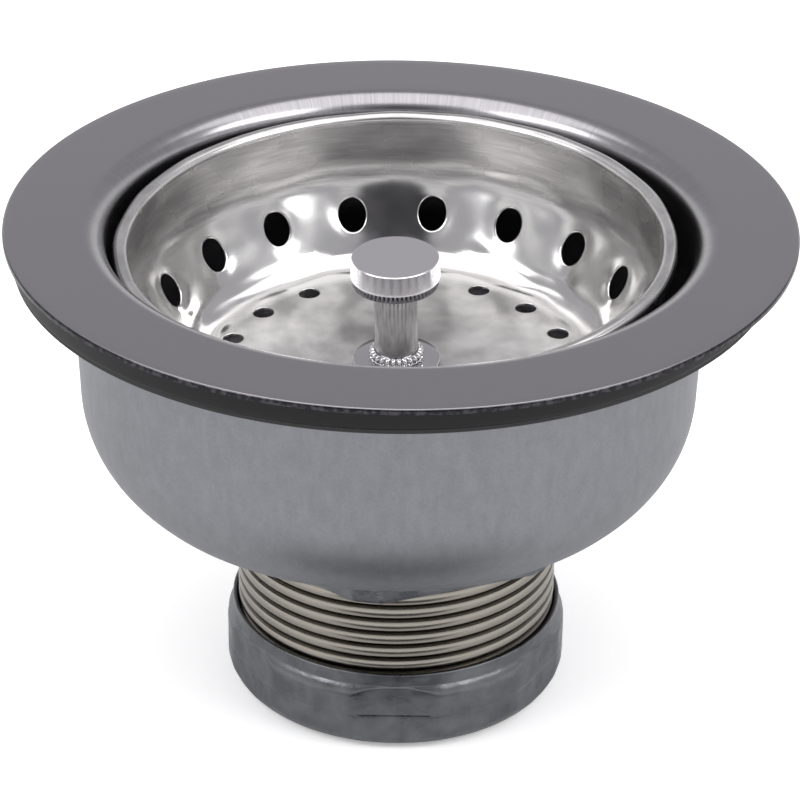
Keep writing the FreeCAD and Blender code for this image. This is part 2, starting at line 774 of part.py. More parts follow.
def make_knob():
    """Turned knob with a flat top, a polished side and a knurled band below it."""
    top = knob_top()
    side_low = top - size("knob_side")
    low = knob_low()
    bore = size("spigot_radius") + size("spigot_gap")
    bore_top = low + size("spigot_length") + size("spigot_gap")
    soft = size("knob_round")
    body = start_body("knob")
    revolve(body, "turned_knob", [
        (as_size(0), top),
        (as_size(0), bore_top),
        (bore, bore_top),
        (bore, low),
        (size("grip_radius"), low),
        (size("grip_radius"), side_low),
        (size("knob_radius"), side_low, soft),
        (size("knob_radius"), top, soft),
    ])
    document.recompute()
    cut_knurl(body, "grip_groove", size("grip_radius"), size("grip_depth"), size("grip_count"),
              low, size("grip_height"))
    return leaning(body)


def make_post_collar():
    """Knurled collar round the post's foot."""
    bore = size("post_radius") + size("stud_gap")
    edge = size("collar_radius")
    low = shoulder_level()
    high = low + size("collar_height")
    bevel = size("collar_round")
    body = start_body("post_collar")
    revolve(body, "ring", [
        (bore, low),
        (edge, low),
        (edge, high - bevel),
        (edge - bevel, high),
        (bore, high),
    ])
    document.recompute()
    cut_knurl(body, "collar_groove", edge, size("collar_depth"), size("collar_count"),
              low, size("collar_height"))
    return leaning(body)


def make_disc(name, radius, low, high):
    """A flat washer threaded on the stud."""
    bore = size("stud_radius") + size("stud_gap")
    body = start_body(name)
    revolve(body, "disc", [(bore, low), (radius, low), (radius, high), (bore, high)])
    return leaning(body)


def backing_top():
    return floor_height() - size("basket_sheet")


def floor_fall(radius):
    """How much lower the crowned floor lies at that radius than at the post."""
    hole = size("stud_radius") + size("stud_gap")
    return size("floor_crown") * (radius - hole) / (lower_wall_radius() - hole)


def make_stopper_backing():
    """Dished washer that follows the crown of the basket's floor from below."""
    bore = size("stud_radius") + size("stud_gap")
    edge = size("backing_radius")
    thickness = size("backing_thickness")
    high = backing_top()
    body = start_body("stopper_backing")
    revolve(body, "dish", [
        (bore, high - thickness),
        (edge, high - floor_fall(edge) - thickness),
        (edge, high - floor_fall(edge)),
        (bore, high),
    ])
    return leaning(body)


def stopper_top():
    """The hub's edge bears on the dish."""
    return backing_top() - size("backing_thickness") - floor_fall(size("stopper_hub_radius"))


def stopper_low():
    return stopper_top() - size("stopper_hub_height")


def make_stopper():
    """Rubber stopper: a hub with a sloped sealing skirt."""
    bore = size("stud_radius") + size("stud_gap")
    hub = size("stopper_hub_radius")
    rim = size("neck_radius") + size("stopper_overlap")
    high = stopper_top()
    root = high - size("stopper_drop")
    edge = root - size("stopper_slope")
    skirt = size("stopper_skirt")
    soft = size("stopper_edge_round")
    body = start_body("stopper")
    revolve(body, "moulded_rubber", [
        (bore, stopper_low()),
        (hub, stopper_low()),
        (hub, root - skirt, soft),
        (rim, edge - skirt, soft),
        (rim, edge, soft),
        (hub, root, soft),
        (hub, high, soft),
        (bore, high),
    ])
    return leaning(body)


def nut_top():
    return stopper_low() - size("stopper_washer_thickness")


def make_post_nut():
    """Hexagon nut that clamps the stopper on the stud."""
    low = nut_top() - size("post_nut_height")
    corner = size("post_nut_flats") / 2 / cosine(as_size(180) / size("post_nut_sides"))
    body = start_body("post_nut")
    outline = start_sketch(body, "hexagon", "XY_Plane")
    raise_sketch(outline, low)
    draw_outline(outline, polygon(sheet.get("post_nut_sides"), corner, as_size(0)))
    draw_circle(outline, (0, 0), size("stud_radius") + size("stud_gap"))
    pad(body, "nut", outline, size("post_nut_height"))
    return leaning(body)


def make_snap_tip():
    """Slotted nylon tip on the stud's end; it springs into the crosspiece."""
    high = nut_top() - size("post_nut_height") - size("stud_gap") * 2
    stud_end = -size("stud_reach") - size("stud_gap")
    low = -size("stud_reach") - size("tip_nose")
    bevel = size("tip_bevel")
    edge = size("tip_radius")
    bore = size("stud_radius") + size("stud_gap")
    body = start_body("snap_tip")
    revolve(body, "moulded_tip", [
        (as_size(0), low),
        (edge - bevel, low),
        (edge, low + bevel),
        (edge, high),
        (bore, high),
        (bore, stud_end),
        (as_size(0), stud_end),
    ])
    document.recompute()
    half = size("tip_slot_width") / 2
    reach = edge + half
    slot = start_sketch(body, "slot_outline", "XY_Plane")
    raise_sketch(slot, low)
    draw_outline(slot, [(-reach, -half), (reach, -half), (reach, half), (-reach, half)])
    first_slot = pocket(body, "slot", slot, size("tip_slot_height"))
    repeat(body, "slots", first_slot, slot, as_size(4))
    return leaning(body)


bodies = [
    make_strainer_body(),
    make_outlet_stub(),
    make_crosspiece(),
    make_sink_gasket(),
    make_friction_ring(),
    make_outer_cup(),
    make_locknut(),
    make_coupling_nut(),
    make_tail_washer(),
    make_basket(),
    make_post(),
    make_knob(),
    make_post_collar(),
    make_disc("post_washer", size("post_washer_radius"), floor_height(), shoulder_level()),
    make_stopper_backing(),
    make_stopper(),
    make_disc("stopper_washer", size("stopper_washer_radius"), nut_top(), stopper_low()),
    make_post_nut(),
    make_snap_tip(),
]
document.recompute()

for item in document.Objects:
    if "Invalid" in item.State or "Error" in item.State:
        raise ValueError("%s did not rebuild: %s" % (item.Name, item.State))

os.makedirs("parts", exist_ok=True)
for body in bodies:
    shape = body.Shape
    if shape.isNull() or not shape.isValid() or len(shape.Solids) < 1:
        raise ValueError("%s has no valid solid" % body.Label)
    shape.exportStep("parts/%s.step" % body.Label)
    box = shape.BoundBox
    print("%-16s volume %9.1f  Z %6.2f to %6.2f  X %7.2f to %6.2f" % (
        body.Label, shape.Volume, box.ZMin, box.ZMax, box.XMin, box.XMax))
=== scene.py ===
# %% [markdown]
# # A basket strainer waste, dressed
#
# The object is a kitchen sink's basket strainer, loosely put together and standing on its
# coupling nut. Its solids come from the imported frame. This script gives most of them a fine
# surface and each the finish of its metal or rubber, and sets up the light and the camera.
# Lengths of the object are written in millimetres and turned to metres by one factor; the lamps
# and the floor are placed in metres.

# %% Load the frame
import math

import bmesh
import bpy
import numpy as np
from mathutils import Matrix, Vector


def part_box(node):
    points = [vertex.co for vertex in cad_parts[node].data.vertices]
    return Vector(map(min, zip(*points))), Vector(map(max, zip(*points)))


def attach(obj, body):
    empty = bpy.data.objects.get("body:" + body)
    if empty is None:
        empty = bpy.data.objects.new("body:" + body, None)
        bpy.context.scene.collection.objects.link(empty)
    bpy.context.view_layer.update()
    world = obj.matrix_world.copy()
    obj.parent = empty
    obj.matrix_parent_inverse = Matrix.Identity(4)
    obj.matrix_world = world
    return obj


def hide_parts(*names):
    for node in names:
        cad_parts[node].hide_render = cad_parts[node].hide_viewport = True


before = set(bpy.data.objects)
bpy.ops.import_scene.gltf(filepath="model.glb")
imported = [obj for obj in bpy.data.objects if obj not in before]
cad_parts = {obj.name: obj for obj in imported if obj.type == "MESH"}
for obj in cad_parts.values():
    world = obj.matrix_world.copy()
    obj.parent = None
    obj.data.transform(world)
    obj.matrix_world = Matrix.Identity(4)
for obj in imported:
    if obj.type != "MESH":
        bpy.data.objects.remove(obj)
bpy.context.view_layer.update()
MM = 0.001

# %% [markdown]
# ## The camera
#
# The photograph was taken from in front and above, with a long lens. The numbers below came
# from fitting a camera to the flange's outline and to the valleys of the thread: how far the
# camera looks down, its distance, its focal length in pixels and a small roll. The picture is
# 800 pixels wide, so the focal length in pixels becomes a lens on a 36 mm sensor.

# %% Camera
FLANGE_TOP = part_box("strainer_body")[1].z / MM
PICTURE = 800
SENSOR = 36.0
FARTHEST = 20.0
FOCAL_PIXELS = 3888.8
LOOK_DOWN = math.radians(28.569)
ROLL = math.radians(0.814)
DISTANCE = 572.95
AIM = np.array([0.196, 0.0, FLANGE_TOP - 29.62])

back = np.array([0.0, -math.cos(LOOK_DOWN), math.sin(LOOK_DOWN)])
level_right = np.array([1.0, 0.0, 0.0])
level_up = np.cross(back, level_right)
right = math.cos(ROLL) * level_right + math.sin(ROLL) * level_up
up = -math.sin(ROLL) * level_right + math.cos(ROLL) * level_up

camera_data = bpy.data.cameras.new("camera")
camera_data.sensor_width = SENSOR
camera_data.lens = FOCAL_PIXELS / PICTURE * SENSOR
camera_data.clip_end = FARTHEST
camera = bpy.data.objects.new("camera", camera_data)
bpy.context.scene.collection.objects.link(camera)
placed = np.eye(4)
placed[:3, 0], placed[:3, 1], placed[:3, 2] = right, up, back
placed[:3, 3] = (AIM + back * DISTANCE) * MM
camera.matrix_world = Matrix(placed.tolist())
bpy.context.scene.camera = camera
print("lens %.1f mm" % camera_data.lens)

# %% [markdown]
# ## Colours and nodes
#
# Colours are written as the hex values that a picture shows. Blender works with linear light,
# so one function turns them over. A second function adds a shader node with its settings and
# links, and everything below is built with it. What feeds an input is an output, or a node
# whose first output in use is meant.

# %% Colour and node helpers
def linear(hex_colour):
    """sRGB hex to linear: c / 12.92 below 0.04045, else ((c + 0.055) / 1.055) to the power 2.4."""
    parts = np.array([int(hex_colour[i:i + 2], 16) for i in (1, 3, 5)]) / 255.0
    light = np.where(parts <= 0.04045, parts / 12.92, ((parts + 0.055) / 1.055) ** 2.4)
    return (*light.tolist(), 1.0)


def feed(node, links):
    """Links an output, or a node's first output in use, to each input named."""
    for name, source in links.items():
        if isinstance(source, bpy.types.Node):
            source = next(output for output in source.outputs if output.enabled)
        node.id_data.links.new(source, node.inputs[name])


def add(tree, kind, links=None, values=None, **settings):
    """Adds a node: settings are properties, values are constants of inputs, links feed inputs."""
    made = tree.nodes.new("ShaderNode" + kind)
    for name, value in settings.items():
        setattr(made, name, value)
    for name, value in (values or {}).items():
        made.inputs[name].default_value = value
    feed(made, links or {})
    return made


print("a mid grey of #808080 is %.3f in linear light" % linear("#808080")[0])

# %% [markdown]
# ## The studio
#
# Metal shows what stands round it, so the studio is planned as a photographer would plan it.
# A large soft box hangs overhead, a little to the front: it gives the white bands on every
# rounded edge. A white backdrop runs round the low horizon, and above it the room is grey,
# which the level flange reflects as its flat grey. In front and above, where the photographer
# stands, there is a small dark patch with a soft edge: bright metal that faces it shows a dark
# band. The camera itself sees white beyond the floor.

# %% World
BACKDROP_TOP = math.sin(math.radians(15))
ROOM_START = math.sin(math.radians(20))
WHITE = (1.0, 1.0, 1.0, 1.0)
ROOM_GREY, PATCH_GREY = linear("#bdbcc0"), linear("#4a494d")
PATCH_HIGH = math.radians(30)
PATCH_WAY = (0.0, -math.cos(PATCH_HIGH), math.sin(PATCH_HIGH))
PATCH_EDGE, PATCH_FULL = math.cos(math.radians(19)), math.cos(math.radians(6))
world = bpy.data.worlds.new("studio")
bpy.context.scene.world = world
world.use_nodes = True
tree = world.node_tree
tree.nodes.clear()
direction = add(tree, "TexCoord")
parts = add(tree, "SeparateXYZ", {"Vector": direction.outputs["Generated"]})
above = add(tree, "MapRange", {"Value": parts.outputs["Z"]},
            {"From Min": BACKDROP_TOP, "From Max": ROOM_START}, interpolation_type="SMOOTHSTEP")
studio = add(tree, "Mix", {"Factor": above}, {6: WHITE, 7: ROOM_GREY}, data_type="RGBA")
towards_patch = add(tree, "VectorMath", {0: direction.outputs["Generated"]},
                    {1: PATCH_WAY}, operation="DOT_PRODUCT")
unlit = add(tree, "MapRange", {"Value": towards_patch},
            {"From Min": PATCH_EDGE, "From Max": PATCH_FULL}, interpolation_type="SMOOTHSTEP")
with_patch = add(tree, "Mix", {"Factor": unlit, 6: studio}, {7: PATCH_GREY}, data_type="RGBA")
rays = add(tree, "LightPath")
seen = add(tree, "Mix", {"Factor": rays.outputs["Is Camera Ray"], 6: with_patch},
           {7: WHITE}, data_type="RGBA")
sky = add(tree, "Background", {"Color": seen})
add(tree, "OutputWorld", {"Surface": sky})
bpy.context.scene.view_settings.view_transform = "Standard"
print("world made of %d nodes" % len(tree.nodes))

# %% [markdown]
# Three lamps: the large soft box and two small ones in front, left and right, which put the
# rough bright edges on the nut's lobes. Their radiance is what the polished edges show, so they
# are set by radiance, and the power that Blender wants is worked out from it.

# %% Lamps
OBJECT_MIDDLE = (0.0, 0.0, 0.05)
OVERHEAD_SIZE, OVERHEAD_PLACE = (1.7, 1.30), (0.0, -0.10, 1.1)
OVERHEAD_AIM = (0.0, -0.10, 0.0)
OVERHEAD_RADIANCE = 1.60
SIDE_SIZE, SIDE_PLACE = (0.80, 0.40), (0.86, -0.44, 0.84)
SIDE_RADIANCE = 5.2


def soft_box(name, size, place, radiance, aim=OBJECT_MIDDLE):
    """A rectangular area lamp; its power is pi times its area times the radiance wanted."""
    data = bpy.data.lights.new(name, "AREA")
    data.shape = "RECTANGLE"
    data.size, data.size_y = size
    data.energy = math.pi * size[0] * size[1] * radiance
    lamp = bpy.data.objects.new(name, data)
    lamp.location = place
    towards = np.array(aim) - np.array(place)
    lamp.rotation_euler = Vector(towards.tolist()).to_track_quat("-Z", "Y").to_euler()
    bpy.context.scene.collection.objects.link(lamp)
    print("%s: %.1f W" % (name, data.energy))


soft_box("overhead_box", OVERHEAD_SIZE, OVERHEAD_PLACE, OVERHEAD_RADIANCE, OVERHEAD_AIM)
for side_name, way in (("left_box", -1.0), ("right_box", 1.0)):
    soft_box(side_name, SIDE_SIZE, (way * SIDE_PLACE[0], *SIDE_PLACE[1:]), SIDE_RADIANCE)

# %% [markdown]
# The object stands on white paper that is lit from behind as well, as on a light table, so the
# camera sees hardly any shadow. The metal mirrors a painted shadow of the flange: a soft dark oval
# painted on the paper a little in front of the object, which darkens the middle of the thread and
# of the nut. Only glossy rays see this painted oval.

# %% Floor
REACH = 6.0
PAPER_WHITE, PAINTED_SHADOW_GREY = linear("#f7f7f7"), linear("#2a2a2b")
PAPER_ROUGHNESS, PAPER_SPECULAR = 0.9, 0.1
OVER_LIT = 0.30
SHADOW_MIDDLE = (0.0, -0.056, 0.0)
SHADOW_WIDE, SHADOW_DEEP = 0.040, 0.016
SHADOW_END, SHADOW_FULL = 1.30, 0.65
floor_data = bpy.data.meshes.new("floor")
floor_corners = [(-REACH, -REACH, 0), (REACH, -REACH, 0), (REACH, REACH, 0), (-REACH, REACH, 0)]
floor_data.from_pydata(floor_corners, [], [(0, 1, 2, 3)])
floor = bpy.data.objects.new("floor", floor_data)
bpy.context.scene.collection.objects.link(floor)
paper = bpy.data.materials.new("white_paper_sweep")
paper.use_nodes = True
tree = paper.node_tree
shader = tree.nodes["Principled BSDF"]
shader.inputs["Roughness"].default_value = PAPER_ROUGHNESS
shader.inputs["Specular IOR Level"].default_value = PAPER_SPECULAR
# Seen by the camera the sweep is a little over-lit, as on a light table; it keeps its shadow.
shader.inputs["Emission Color"].default_value = WHITE
rays = add(tree, "LightPath")
lift = add(tree, "Math", {0: rays.outputs["Is Camera Ray"]}, {1: OVER_LIT}, operation="MULTIPLY")
place = add(tree, "TexCoord")
from_middle = add(tree, "VectorMath", {0: place.outputs["Object"]},
                  {1: SHADOW_MIDDLE}, operation="SUBTRACT")
scaled = add(tree, "VectorMath", {0: from_middle},
             {1: (1 / SHADOW_WIDE, 1 / SHADOW_DEEP, 0.0)}, operation="MULTIPLY")
distance = add(tree, "VectorMath", {0: scaled}, operation="LENGTH")
# Painted shadow: a soft dark oval on the paper in front of the object, which only glossy rays see.
shadow = add(tree, "MapRange", {"Value": distance},
             {"From Min": SHADOW_END, "From Max": SHADOW_FULL}, interpolation_type="SMOOTHSTEP")
mirrored = add(tree, "Math", {0: shadow, 1: rays.outputs["Is Glossy Ray"]}, operation="MULTIPLY")
ground = add(tree, "Mix", {"Factor": mirrored}, {6: PAPER_WHITE, 7: PAINTED_SHADOW_GREY}, data_type="RGBA")
feed(shader, {"Emission Strength": lift, "Base Color": ground})
floor_data.materials.append(paper)
print("floor %.0f m across" % (2 * REACH))

# %% [markdown]
# ## Shapes as functions on a grid
#
# Nearly every piece here is turned, drawn or cast round one axis. Its surface is a function of
# two parameters: the angle round the axis and the place along a profile. The profile is
# a list of corners, some rounded, which becomes a dense line of points; the grid is that line
# carried round the axis as whole arrays.

# %% Profile of straight sides and arcs
WIDEST_TURN = math.radians(12)


def outline(corners, closed=True, step=0.35, fine=0.12):
    """Points along straight sides between corners (radius, height[, rounding]) in millimetres.

    A rounded corner is an arc of that radius tangent to both sides. Its points are at most
    fine and WIDEST_TURN apart, and those of a straight side at most step apart.
    """
    count = len(corners)
    spots = [np.array(c[:2], float) for c in corners]
    line = []
    for index, corner in enumerate(corners):
        here = spots[index]
        rounded = len(corner) > 2 and corner[2] > 0
        if not rounded or (not closed and index in (0, count - 1)):
            line.append([here])
            continue
        inward = spots[index - 1] - here
        outward = spots[(index + 1) % count] - here
        inward = inward / np.linalg.norm(inward)
        outward = outward / np.linalg.norm(outward)
        between = (inward + outward) / np.linalg.norm(inward + outward)
        half = math.acos(np.clip(inward @ outward, -1, 1)) / 2
        radius = corner[2]
        middle = here + between * radius / math.sin(half)
        start = here + inward * radius / math.tan(half) - middle
        turn = math.pi - 2 * half
        side = np.sign(inward[0] * outward[1] - inward[1] * outward[0])
        steps = max(3, math.ceil(radius * turn / fine), math.ceil(turn / WIDEST_TURN))
        angles = -side * np.linspace(0, turn, steps + 1)
        cosines, sines = np.cos(angles), np.sin(angles)
        arc = [start[0] * cosines - start[1] * sines, start[0] * sines + start[1] * cosines]
        line.append(list(middle + np.stack(arc, 1)))
    points = []
    for index in range(count):
        points.extend(line[index])
        if index == count - 1 and not closed:
            break
        here, there = line[index][-1], line[(index + 1) % count][0]
        pieces = max(1, math.ceil(np.linalg.norm(there - here) / step))
        points.extend(here + (there - here) * k / pieces for k in range(1, pieces))
    return np.array(points)


print("a 9 mm square corner rounded over 3 mm: %d points"
      % len(outline([(0, 0), (9, 0, 3), (9, 9)], closed=False)))

# %% [markdown]
# The grid's points go into a mesh as arrays. Points that fall together, such as those on the
# axis, are merged, and edges sharper than an angle stay sharp while the rest is shaded smooth.

# %% Mesh from a grid of points
def link_mesh(name, vertices, faces, smooth_below=32.0, merge=1e-4):
    """A mesh object from points in millimetres; doubles are merged and normals point outwards."""
    mesh = bpy.data.meshes.new(name)
    mesh.vertices.add(len(vertices))
    mesh.vertices.foreach_set("co", (np.asarray(vertices) * MM).astype(np.float32).ravel())
    corners = np.asarray(faces, np.int32)
    starts = np.arange(len(corners), dtype=np.int32) * corners.shape[1]
    mesh.loops.add(corners.size)
    mesh.loops.foreach_set("vertex_index", corners.ravel())
    mesh.polygons.add(len(corners))
    mesh.polygons.foreach_set("loop_start", starts)
    mesh.update(calc_edges=True)
    work = bmesh.new()
    work.from_mesh(mesh)
    bmesh.ops.remove_doubles(work, verts=work.verts, dist=merge * MM)
    bmesh.ops.dissolve_degenerate(work, edges=work.edges, dist=1e-9)
    bmesh.ops.recalc_face_normals(work, faces=work.faces)
    work.to_mesh(mesh)
    work.free()
    mesh.polygons.foreach_set("use_smooth", np.ones(len(mesh.polygons), bool))
    mesh.set_sharp_from_angle(angle=math.radians(smooth_below))
    made = bpy.data.objects.new(name, mesh)
    bpy.context.scene.collection.objects.link(made)
    return made


def grid_faces(rows, columns, wrap_rows=True):
    """Quads of a grid whose last column joins its first; its last row may join its first too."""
    row, column = np.meshgrid(np.arange(rows if wrap_rows else rows - 1), np.arange(columns),
                              indexing="ij")
    next_row, next_column = (row + 1) % rows, (column + 1) % columns
    quad = [row * columns + column, row * columns + next_column,
            next_row * columns + next_column, next_row * columns + column]
    return np.stack(quad, -1).reshape(-1, 4)


def full_turn(columns):
    """Angles of the columns, evenly round the axis."""
    return np.arange(columns) / columns * 2 * math.pi


def ring_points(radius, height, angle, centre=(0.0, 0.0)):
    """Grid of points (x, y, z) = (cx + r cos a, cy + r sin a, z)."""
    x = centre[0] + radius * np.cos(angle)
    y = centre[1] + radius * np.sin(angle)
    return np.stack([x, y, np.broadcast_to(height, x.shape)], -1)


def grid_mesh(name, points, place=None, **rest):
    """A piece from a grid of points closed both ways; place, if given, moves its points."""
    flat = points.reshape(-1, 3)
    faces = grid_faces(*points.shape[:2])
    return link_mesh(name, place(flat) if place else flat, faces, **rest)


def turned(name, corners, turns=240, centre=(0.0, 0.0), step=0.8, fine=0.15, place=None):
    """A closed turned piece from the corners of its profile."""
    line = outline(corners, step=step, fine=fine)
    points = ring_points(line[:, :1], line[:, 1:], full_turn(turns), centre)
    return grid_mesh(name, points, place)


print("a closed grid of 3 by 4 points has %d faces" % len(grid_faces(3, 4)))

# %% [markdown]
# ## The basket's lean
#
# The basket sits loosely in the mouth and leans towards the front left. Its pieces are drawn
# upright, with heights above a pivot in the bowl, and then turned about that pivot as one. The
# turn is p cos t + (a x p) sin t + a (a . p) (1 - cos t), for a point p, the level axis a and
# the angle t.

# %% Upright and leaned
LEAN = math.radians(2.58)
LEAN_HEADING = math.radians(-119.0)
LEAN_AXIS = np.array([-math.sin(LEAN_HEADING), math.cos(LEAN_HEADING), 0.0])
PIVOT = np.array([0.0, 0.0, 34.0])


def turn_about_axis(points, angle):
    """Turns points about the level axis through the origin."""
    along = points @ LEAN_AXIS
    crossed = np.cross(LEAN_AXIS, points)
    return (points * math.cos(angle) + crossed * math.sin(angle)
            + LEAN_AXIS * (along * (1 - math.cos(angle)))[..., None])


def lean(points):
    """Takes points given above the pivot to the leaned basket."""
    return turn_about_axis(points, LEAN) + PIVOT


def unlean(points):
    """Takes points back from the leaned basket to heights above the pivot."""
    return turn_about_axis(points - PIVOT, -LEAN)


print("10 mm above the pivot is leaned to", np.round(lean(np.array([0.0, 0.0, 10.0])), 2))

# %% [markdown]
# Every piece gets its material, stands for one node of the frame, and rides that node's body.
# Some finishes change over a piece, such as from brushed to bright: a rule turns its points
# into an attribute from 0 to 1, which the material reads.

# %% Dress and store
def dress(piece, node, body, material):
    """Puts the material on a piece that stands for a CAD node, and joins it to its body."""
    piece.data.materials.clear()
    piece.data.materials.append(material)
    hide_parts(node)
    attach(piece, body)
    print("%-20s %6d faces" % (piece.name, len(piece.data.polygons)))


def store(piece, name, rule):
    """Stores rule(points in millimetres) as a point attribute of that name."""
    co = np.empty(len(piece.data.vertices) * 3, np.float32)
    piece.data.vertices.foreach_get("co", co)
    values = np.clip(rule(co.reshape(-1, 3) / MM), 0, 1).astype(np.float32)
    piece.data.attributes.new(name, "FLOAT", "POINT").data.foreach_set("value", values)
    print("%s on %s: mean %.3f" % (name, piece.name, values.mean()))


def from_axis(points):
    """Distance of points from the upright axis."""
    return np.hypot(points[:, 0], points[:, 1])


# %% [markdown]
# ## Metals and rubber
#
# Each finish starts from what the real one is. A material starts with its constant values set
# on the shader itself. Patterns are noise in the piece's own space, so they stay on the piece
# when it moves, and their sizes are real ones in millimetres. Noise mostly lies between 0.35
# and 0.65, so a range node stretches that middle to what the pattern needs.

# %% Start of a material
NOISE_LOW, NOISE_HIGH = 0.35, 0.65


def start_material(name, colour, metallic, roughness):
    """A Principled material, its node tree, its shader and the piece's own coordinates."""
    made = bpy.data.materials.new(name)
    made.use_nodes = True
    tree = made.node_tree
    shader = tree.nodes["Principled BSDF"]
    shader.inputs["Base Color"].default_value = linear(colour)
    shader.inputs["Metallic"].default_value = metallic
    shader.inputs["Roughness"].default_value = roughness
    place = add(tree, "TexCoord")
    return made, tree, shader, place.outputs["Object"]


def middle_to(low, high):
    """Values of a range node that stretches noise's middle to low and high."""
    return {"From Min": NOISE_LOW, "From Max": NOISE_HIGH, "To Min": low, "To Max": high}


def tones(first, second):
    """Values of a mix node that goes from one colour to another."""
    return {6: linear(first), 7: linear(second)}


def patches(width, detail):
    """Values of a noise node for patches about width millimetres wide."""
    return {"Scale": 1.0 / (width * MM), "Detail": detail}


def raised(height, strength):
    """Values of a bump node as high as height millimetres."""
    return {"Distance": height * MM, "Strength": strength}


print("noise of 0.5 mm has a scale of %.0f" % patches(0.5, 3.0)["Scale"])

# %% [markdown]
# ### Stainless sheet of the flange and bowl
#
# A satin grey with a very fine grain. Where the sheet rolls over into the bowl the drawing die
# left fine lines that run over the edge: noise on a circle, which changes only with the angle
# round the axis. The outer edge is a raw cut with bright and dark specks. Two attributes say
# where the drawn rounding and the cut edge are.

# %% Satin stainless
LINE_CIRCLE = 44.0
satin_stainless, tree, shader, place = start_material(
    "satin_drawn_stainless", "#9b999c", 1.0, 0.24)
flat_way = add(tree, "VectorMath", {0: place}, {1: (1.0, 1.0, 0.0)}, operation="MULTIPLY")
round_way = add(tree, "VectorMath", {0: flat_way}, operation="NORMALIZE")
on_circle = add(tree, "VectorMath", {0: round_way}, {"Scale": LINE_CIRCLE * MM}, operation="SCALE")
lines = add(tree, "TexNoise", {"Vector": on_circle}, patches(0.3, 3.0))
line_colour = add(tree, "Mix", {"Factor": lines}, tones("#8c8a8d", "#aaa8ab"), data_type="RGBA")
drawn = add(tree, "Attribute", attribute_name="drawn")
sheet_colour = add(tree, "Mix", {"Factor": drawn.outputs["Fac"], 7: line_colour},
                   {6: linear("#9b999c")}, data_type="RGBA")
specks = add(tree, "TexNoise", {"Vector": place}, patches(0.9, 4.0))
speck_share = add(tree, "MapRange", {"Value": specks}, {"From Min": 0.46, "From Max": 0.60})
speck_colour = add(tree, "Mix", {"Factor": speck_share},
                   tones("#29282b", "#434245"), data_type="RGBA")
cut_edge = add(tree, "Attribute", attribute_name="cut_edge")
colour = add(tree, "Mix", {"Factor": cut_edge.outputs["Fac"], 6: sheet_colour, 7: speck_colour},
             data_type="RGBA")
grain = add(tree, "TexNoise", {"Vector": place}, patches(0.35, 3.0))
bump = add(tree, "Bump", {"Height": grain}, raised(0.004, 0.5))
feed(shader, {"Base Color": colour, "Normal": bump})
print("satin stainless: %d nodes" % len(tree.nodes))

# %% [markdown]
# ### Bright sheet of the basket
#
# Its shoulder is mirror bright from the drawing die. The wall above and the floor are brushed,
# which the attribute "satin" says, from 0 to 1. The strokes are long in X and Y and thin in Z,
# and each is a little lighter or darker than the next. The shader's tangent runs round the
# axis, so a reflection in the brushed parts is drawn out round the floor and round the wall.

# %% Bright stainless
STROKE_STRETCH = (0.07, 0.07, 1.0)
BRUSH_STRENGTH = 0.94
bright_stainless, tree, shader, place = start_material(
    "bright_drawn_stainless", "#cfcecd", 1.0, 0.12)
satin = add(tree, "Attribute", attribute_name="satin").outputs["Fac"]
stretched = add(tree, "VectorMath", {0: place}, {1: STROKE_STRETCH}, operation="MULTIPLY")
strokes = add(tree, "TexNoise", {"Vector": stretched}, patches(0.4, 3.0))
clouds = add(tree, "TexNoise", {"Vector": place}, patches(7.0, 2.0))
stroke_share = add(tree, "MapRange", {"Value": strokes}, middle_to(0.0, 1.0))
brushed_colour = add(tree, "Mix", {"Factor": stroke_share},
                     tones("#a4a2a2", "#c1c0bf"), data_type="RGBA")
colour = add(tree, "Mix", {"Factor": satin, 7: brushed_colour},
             {6: linear("#cfcecd")}, data_type="RGBA")
polish = add(tree, "MapRange", {"Value": clouds}, middle_to(0.10, 0.20))
brushed = add(tree, "MapRange", {"Value": clouds}, middle_to(0.28, 0.33))
rough = add(tree, "Mix", {"Factor": satin, 2: polish, 3: brushed}, data_type="FLOAT")
round_axis = add(tree, "VectorMath", {1: place}, {0: (0.0, 0.0, 1.0)}, operation="CROSS_PRODUCT")
in_world = add(tree, "VectorTransform", {"Vector": round_axis},
               vector_type="VECTOR", convert_from="OBJECT", convert_to="WORLD")
along_brush = add(tree, "Math", {0: satin}, {1: BRUSH_STRENGTH}, operation="MULTIPLY")
depth = add(tree, "Math", {0: strokes, 1: satin}, operation="MULTIPLY")
bump = add(tree, "Bump", {"Height": depth}, raised(0.012, 0.6))
feed(shader, {"Base Color": colour, "Roughness": rough, "Tangent": in_world,
              "Anisotropic": along_brush, "Normal": bump})
print("bright stainless: %d nodes" % len(tree.nodes))

# %% [markdown]
# ### Galvanised steel of the cup
#
# An even grey with a soft shine, faint streaks down the wall from the drawing and fine specks
# of the zinc's grain.

# %% Galvanised steel
STREAK_STRETCH = (1.0, 1.0, 0.45)
galvanised, tree, shader, place = start_material("galvanised_drawn_steel", "#7f7f82", 1.0, 0.50)
stretched = add(tree, "VectorMath", {0: place}, {1: STREAK_STRETCH}, operation="MULTIPLY")
streaks = add(tree, "TexNoise", {"Vector": stretched}, patches(1.6, 3.0))
specks = add(tree, "TexNoise", {"Vector": place}, patches(0.35, 4.0))
shade = add(tree, "Math", {0: streaks, 1: specks}, operation="ADD")
share = add(tree, "MapRange", {"Value": shade}, {"From Min": 0.7, "From Max": 1.3})
colour = add(tree, "Mix", {"Factor": share}, tones("#7a7b7f", "#85868a"), data_type="RGBA")
bump = add(tree, "Bump", {"Height": specks}, raised(0.02, 0.6))
feed(shader, {"Base Color": colour, "Normal": bump})
print("galvanised steel: %d nodes" % len(tree.nodes))

# %% [markdown]
# ### Die-cast zinc of the nuts
#
# Tumbled but not polished: dark, a little blue, with soft clouds of tone and a fine orange peel
# that breaks its highlights up.

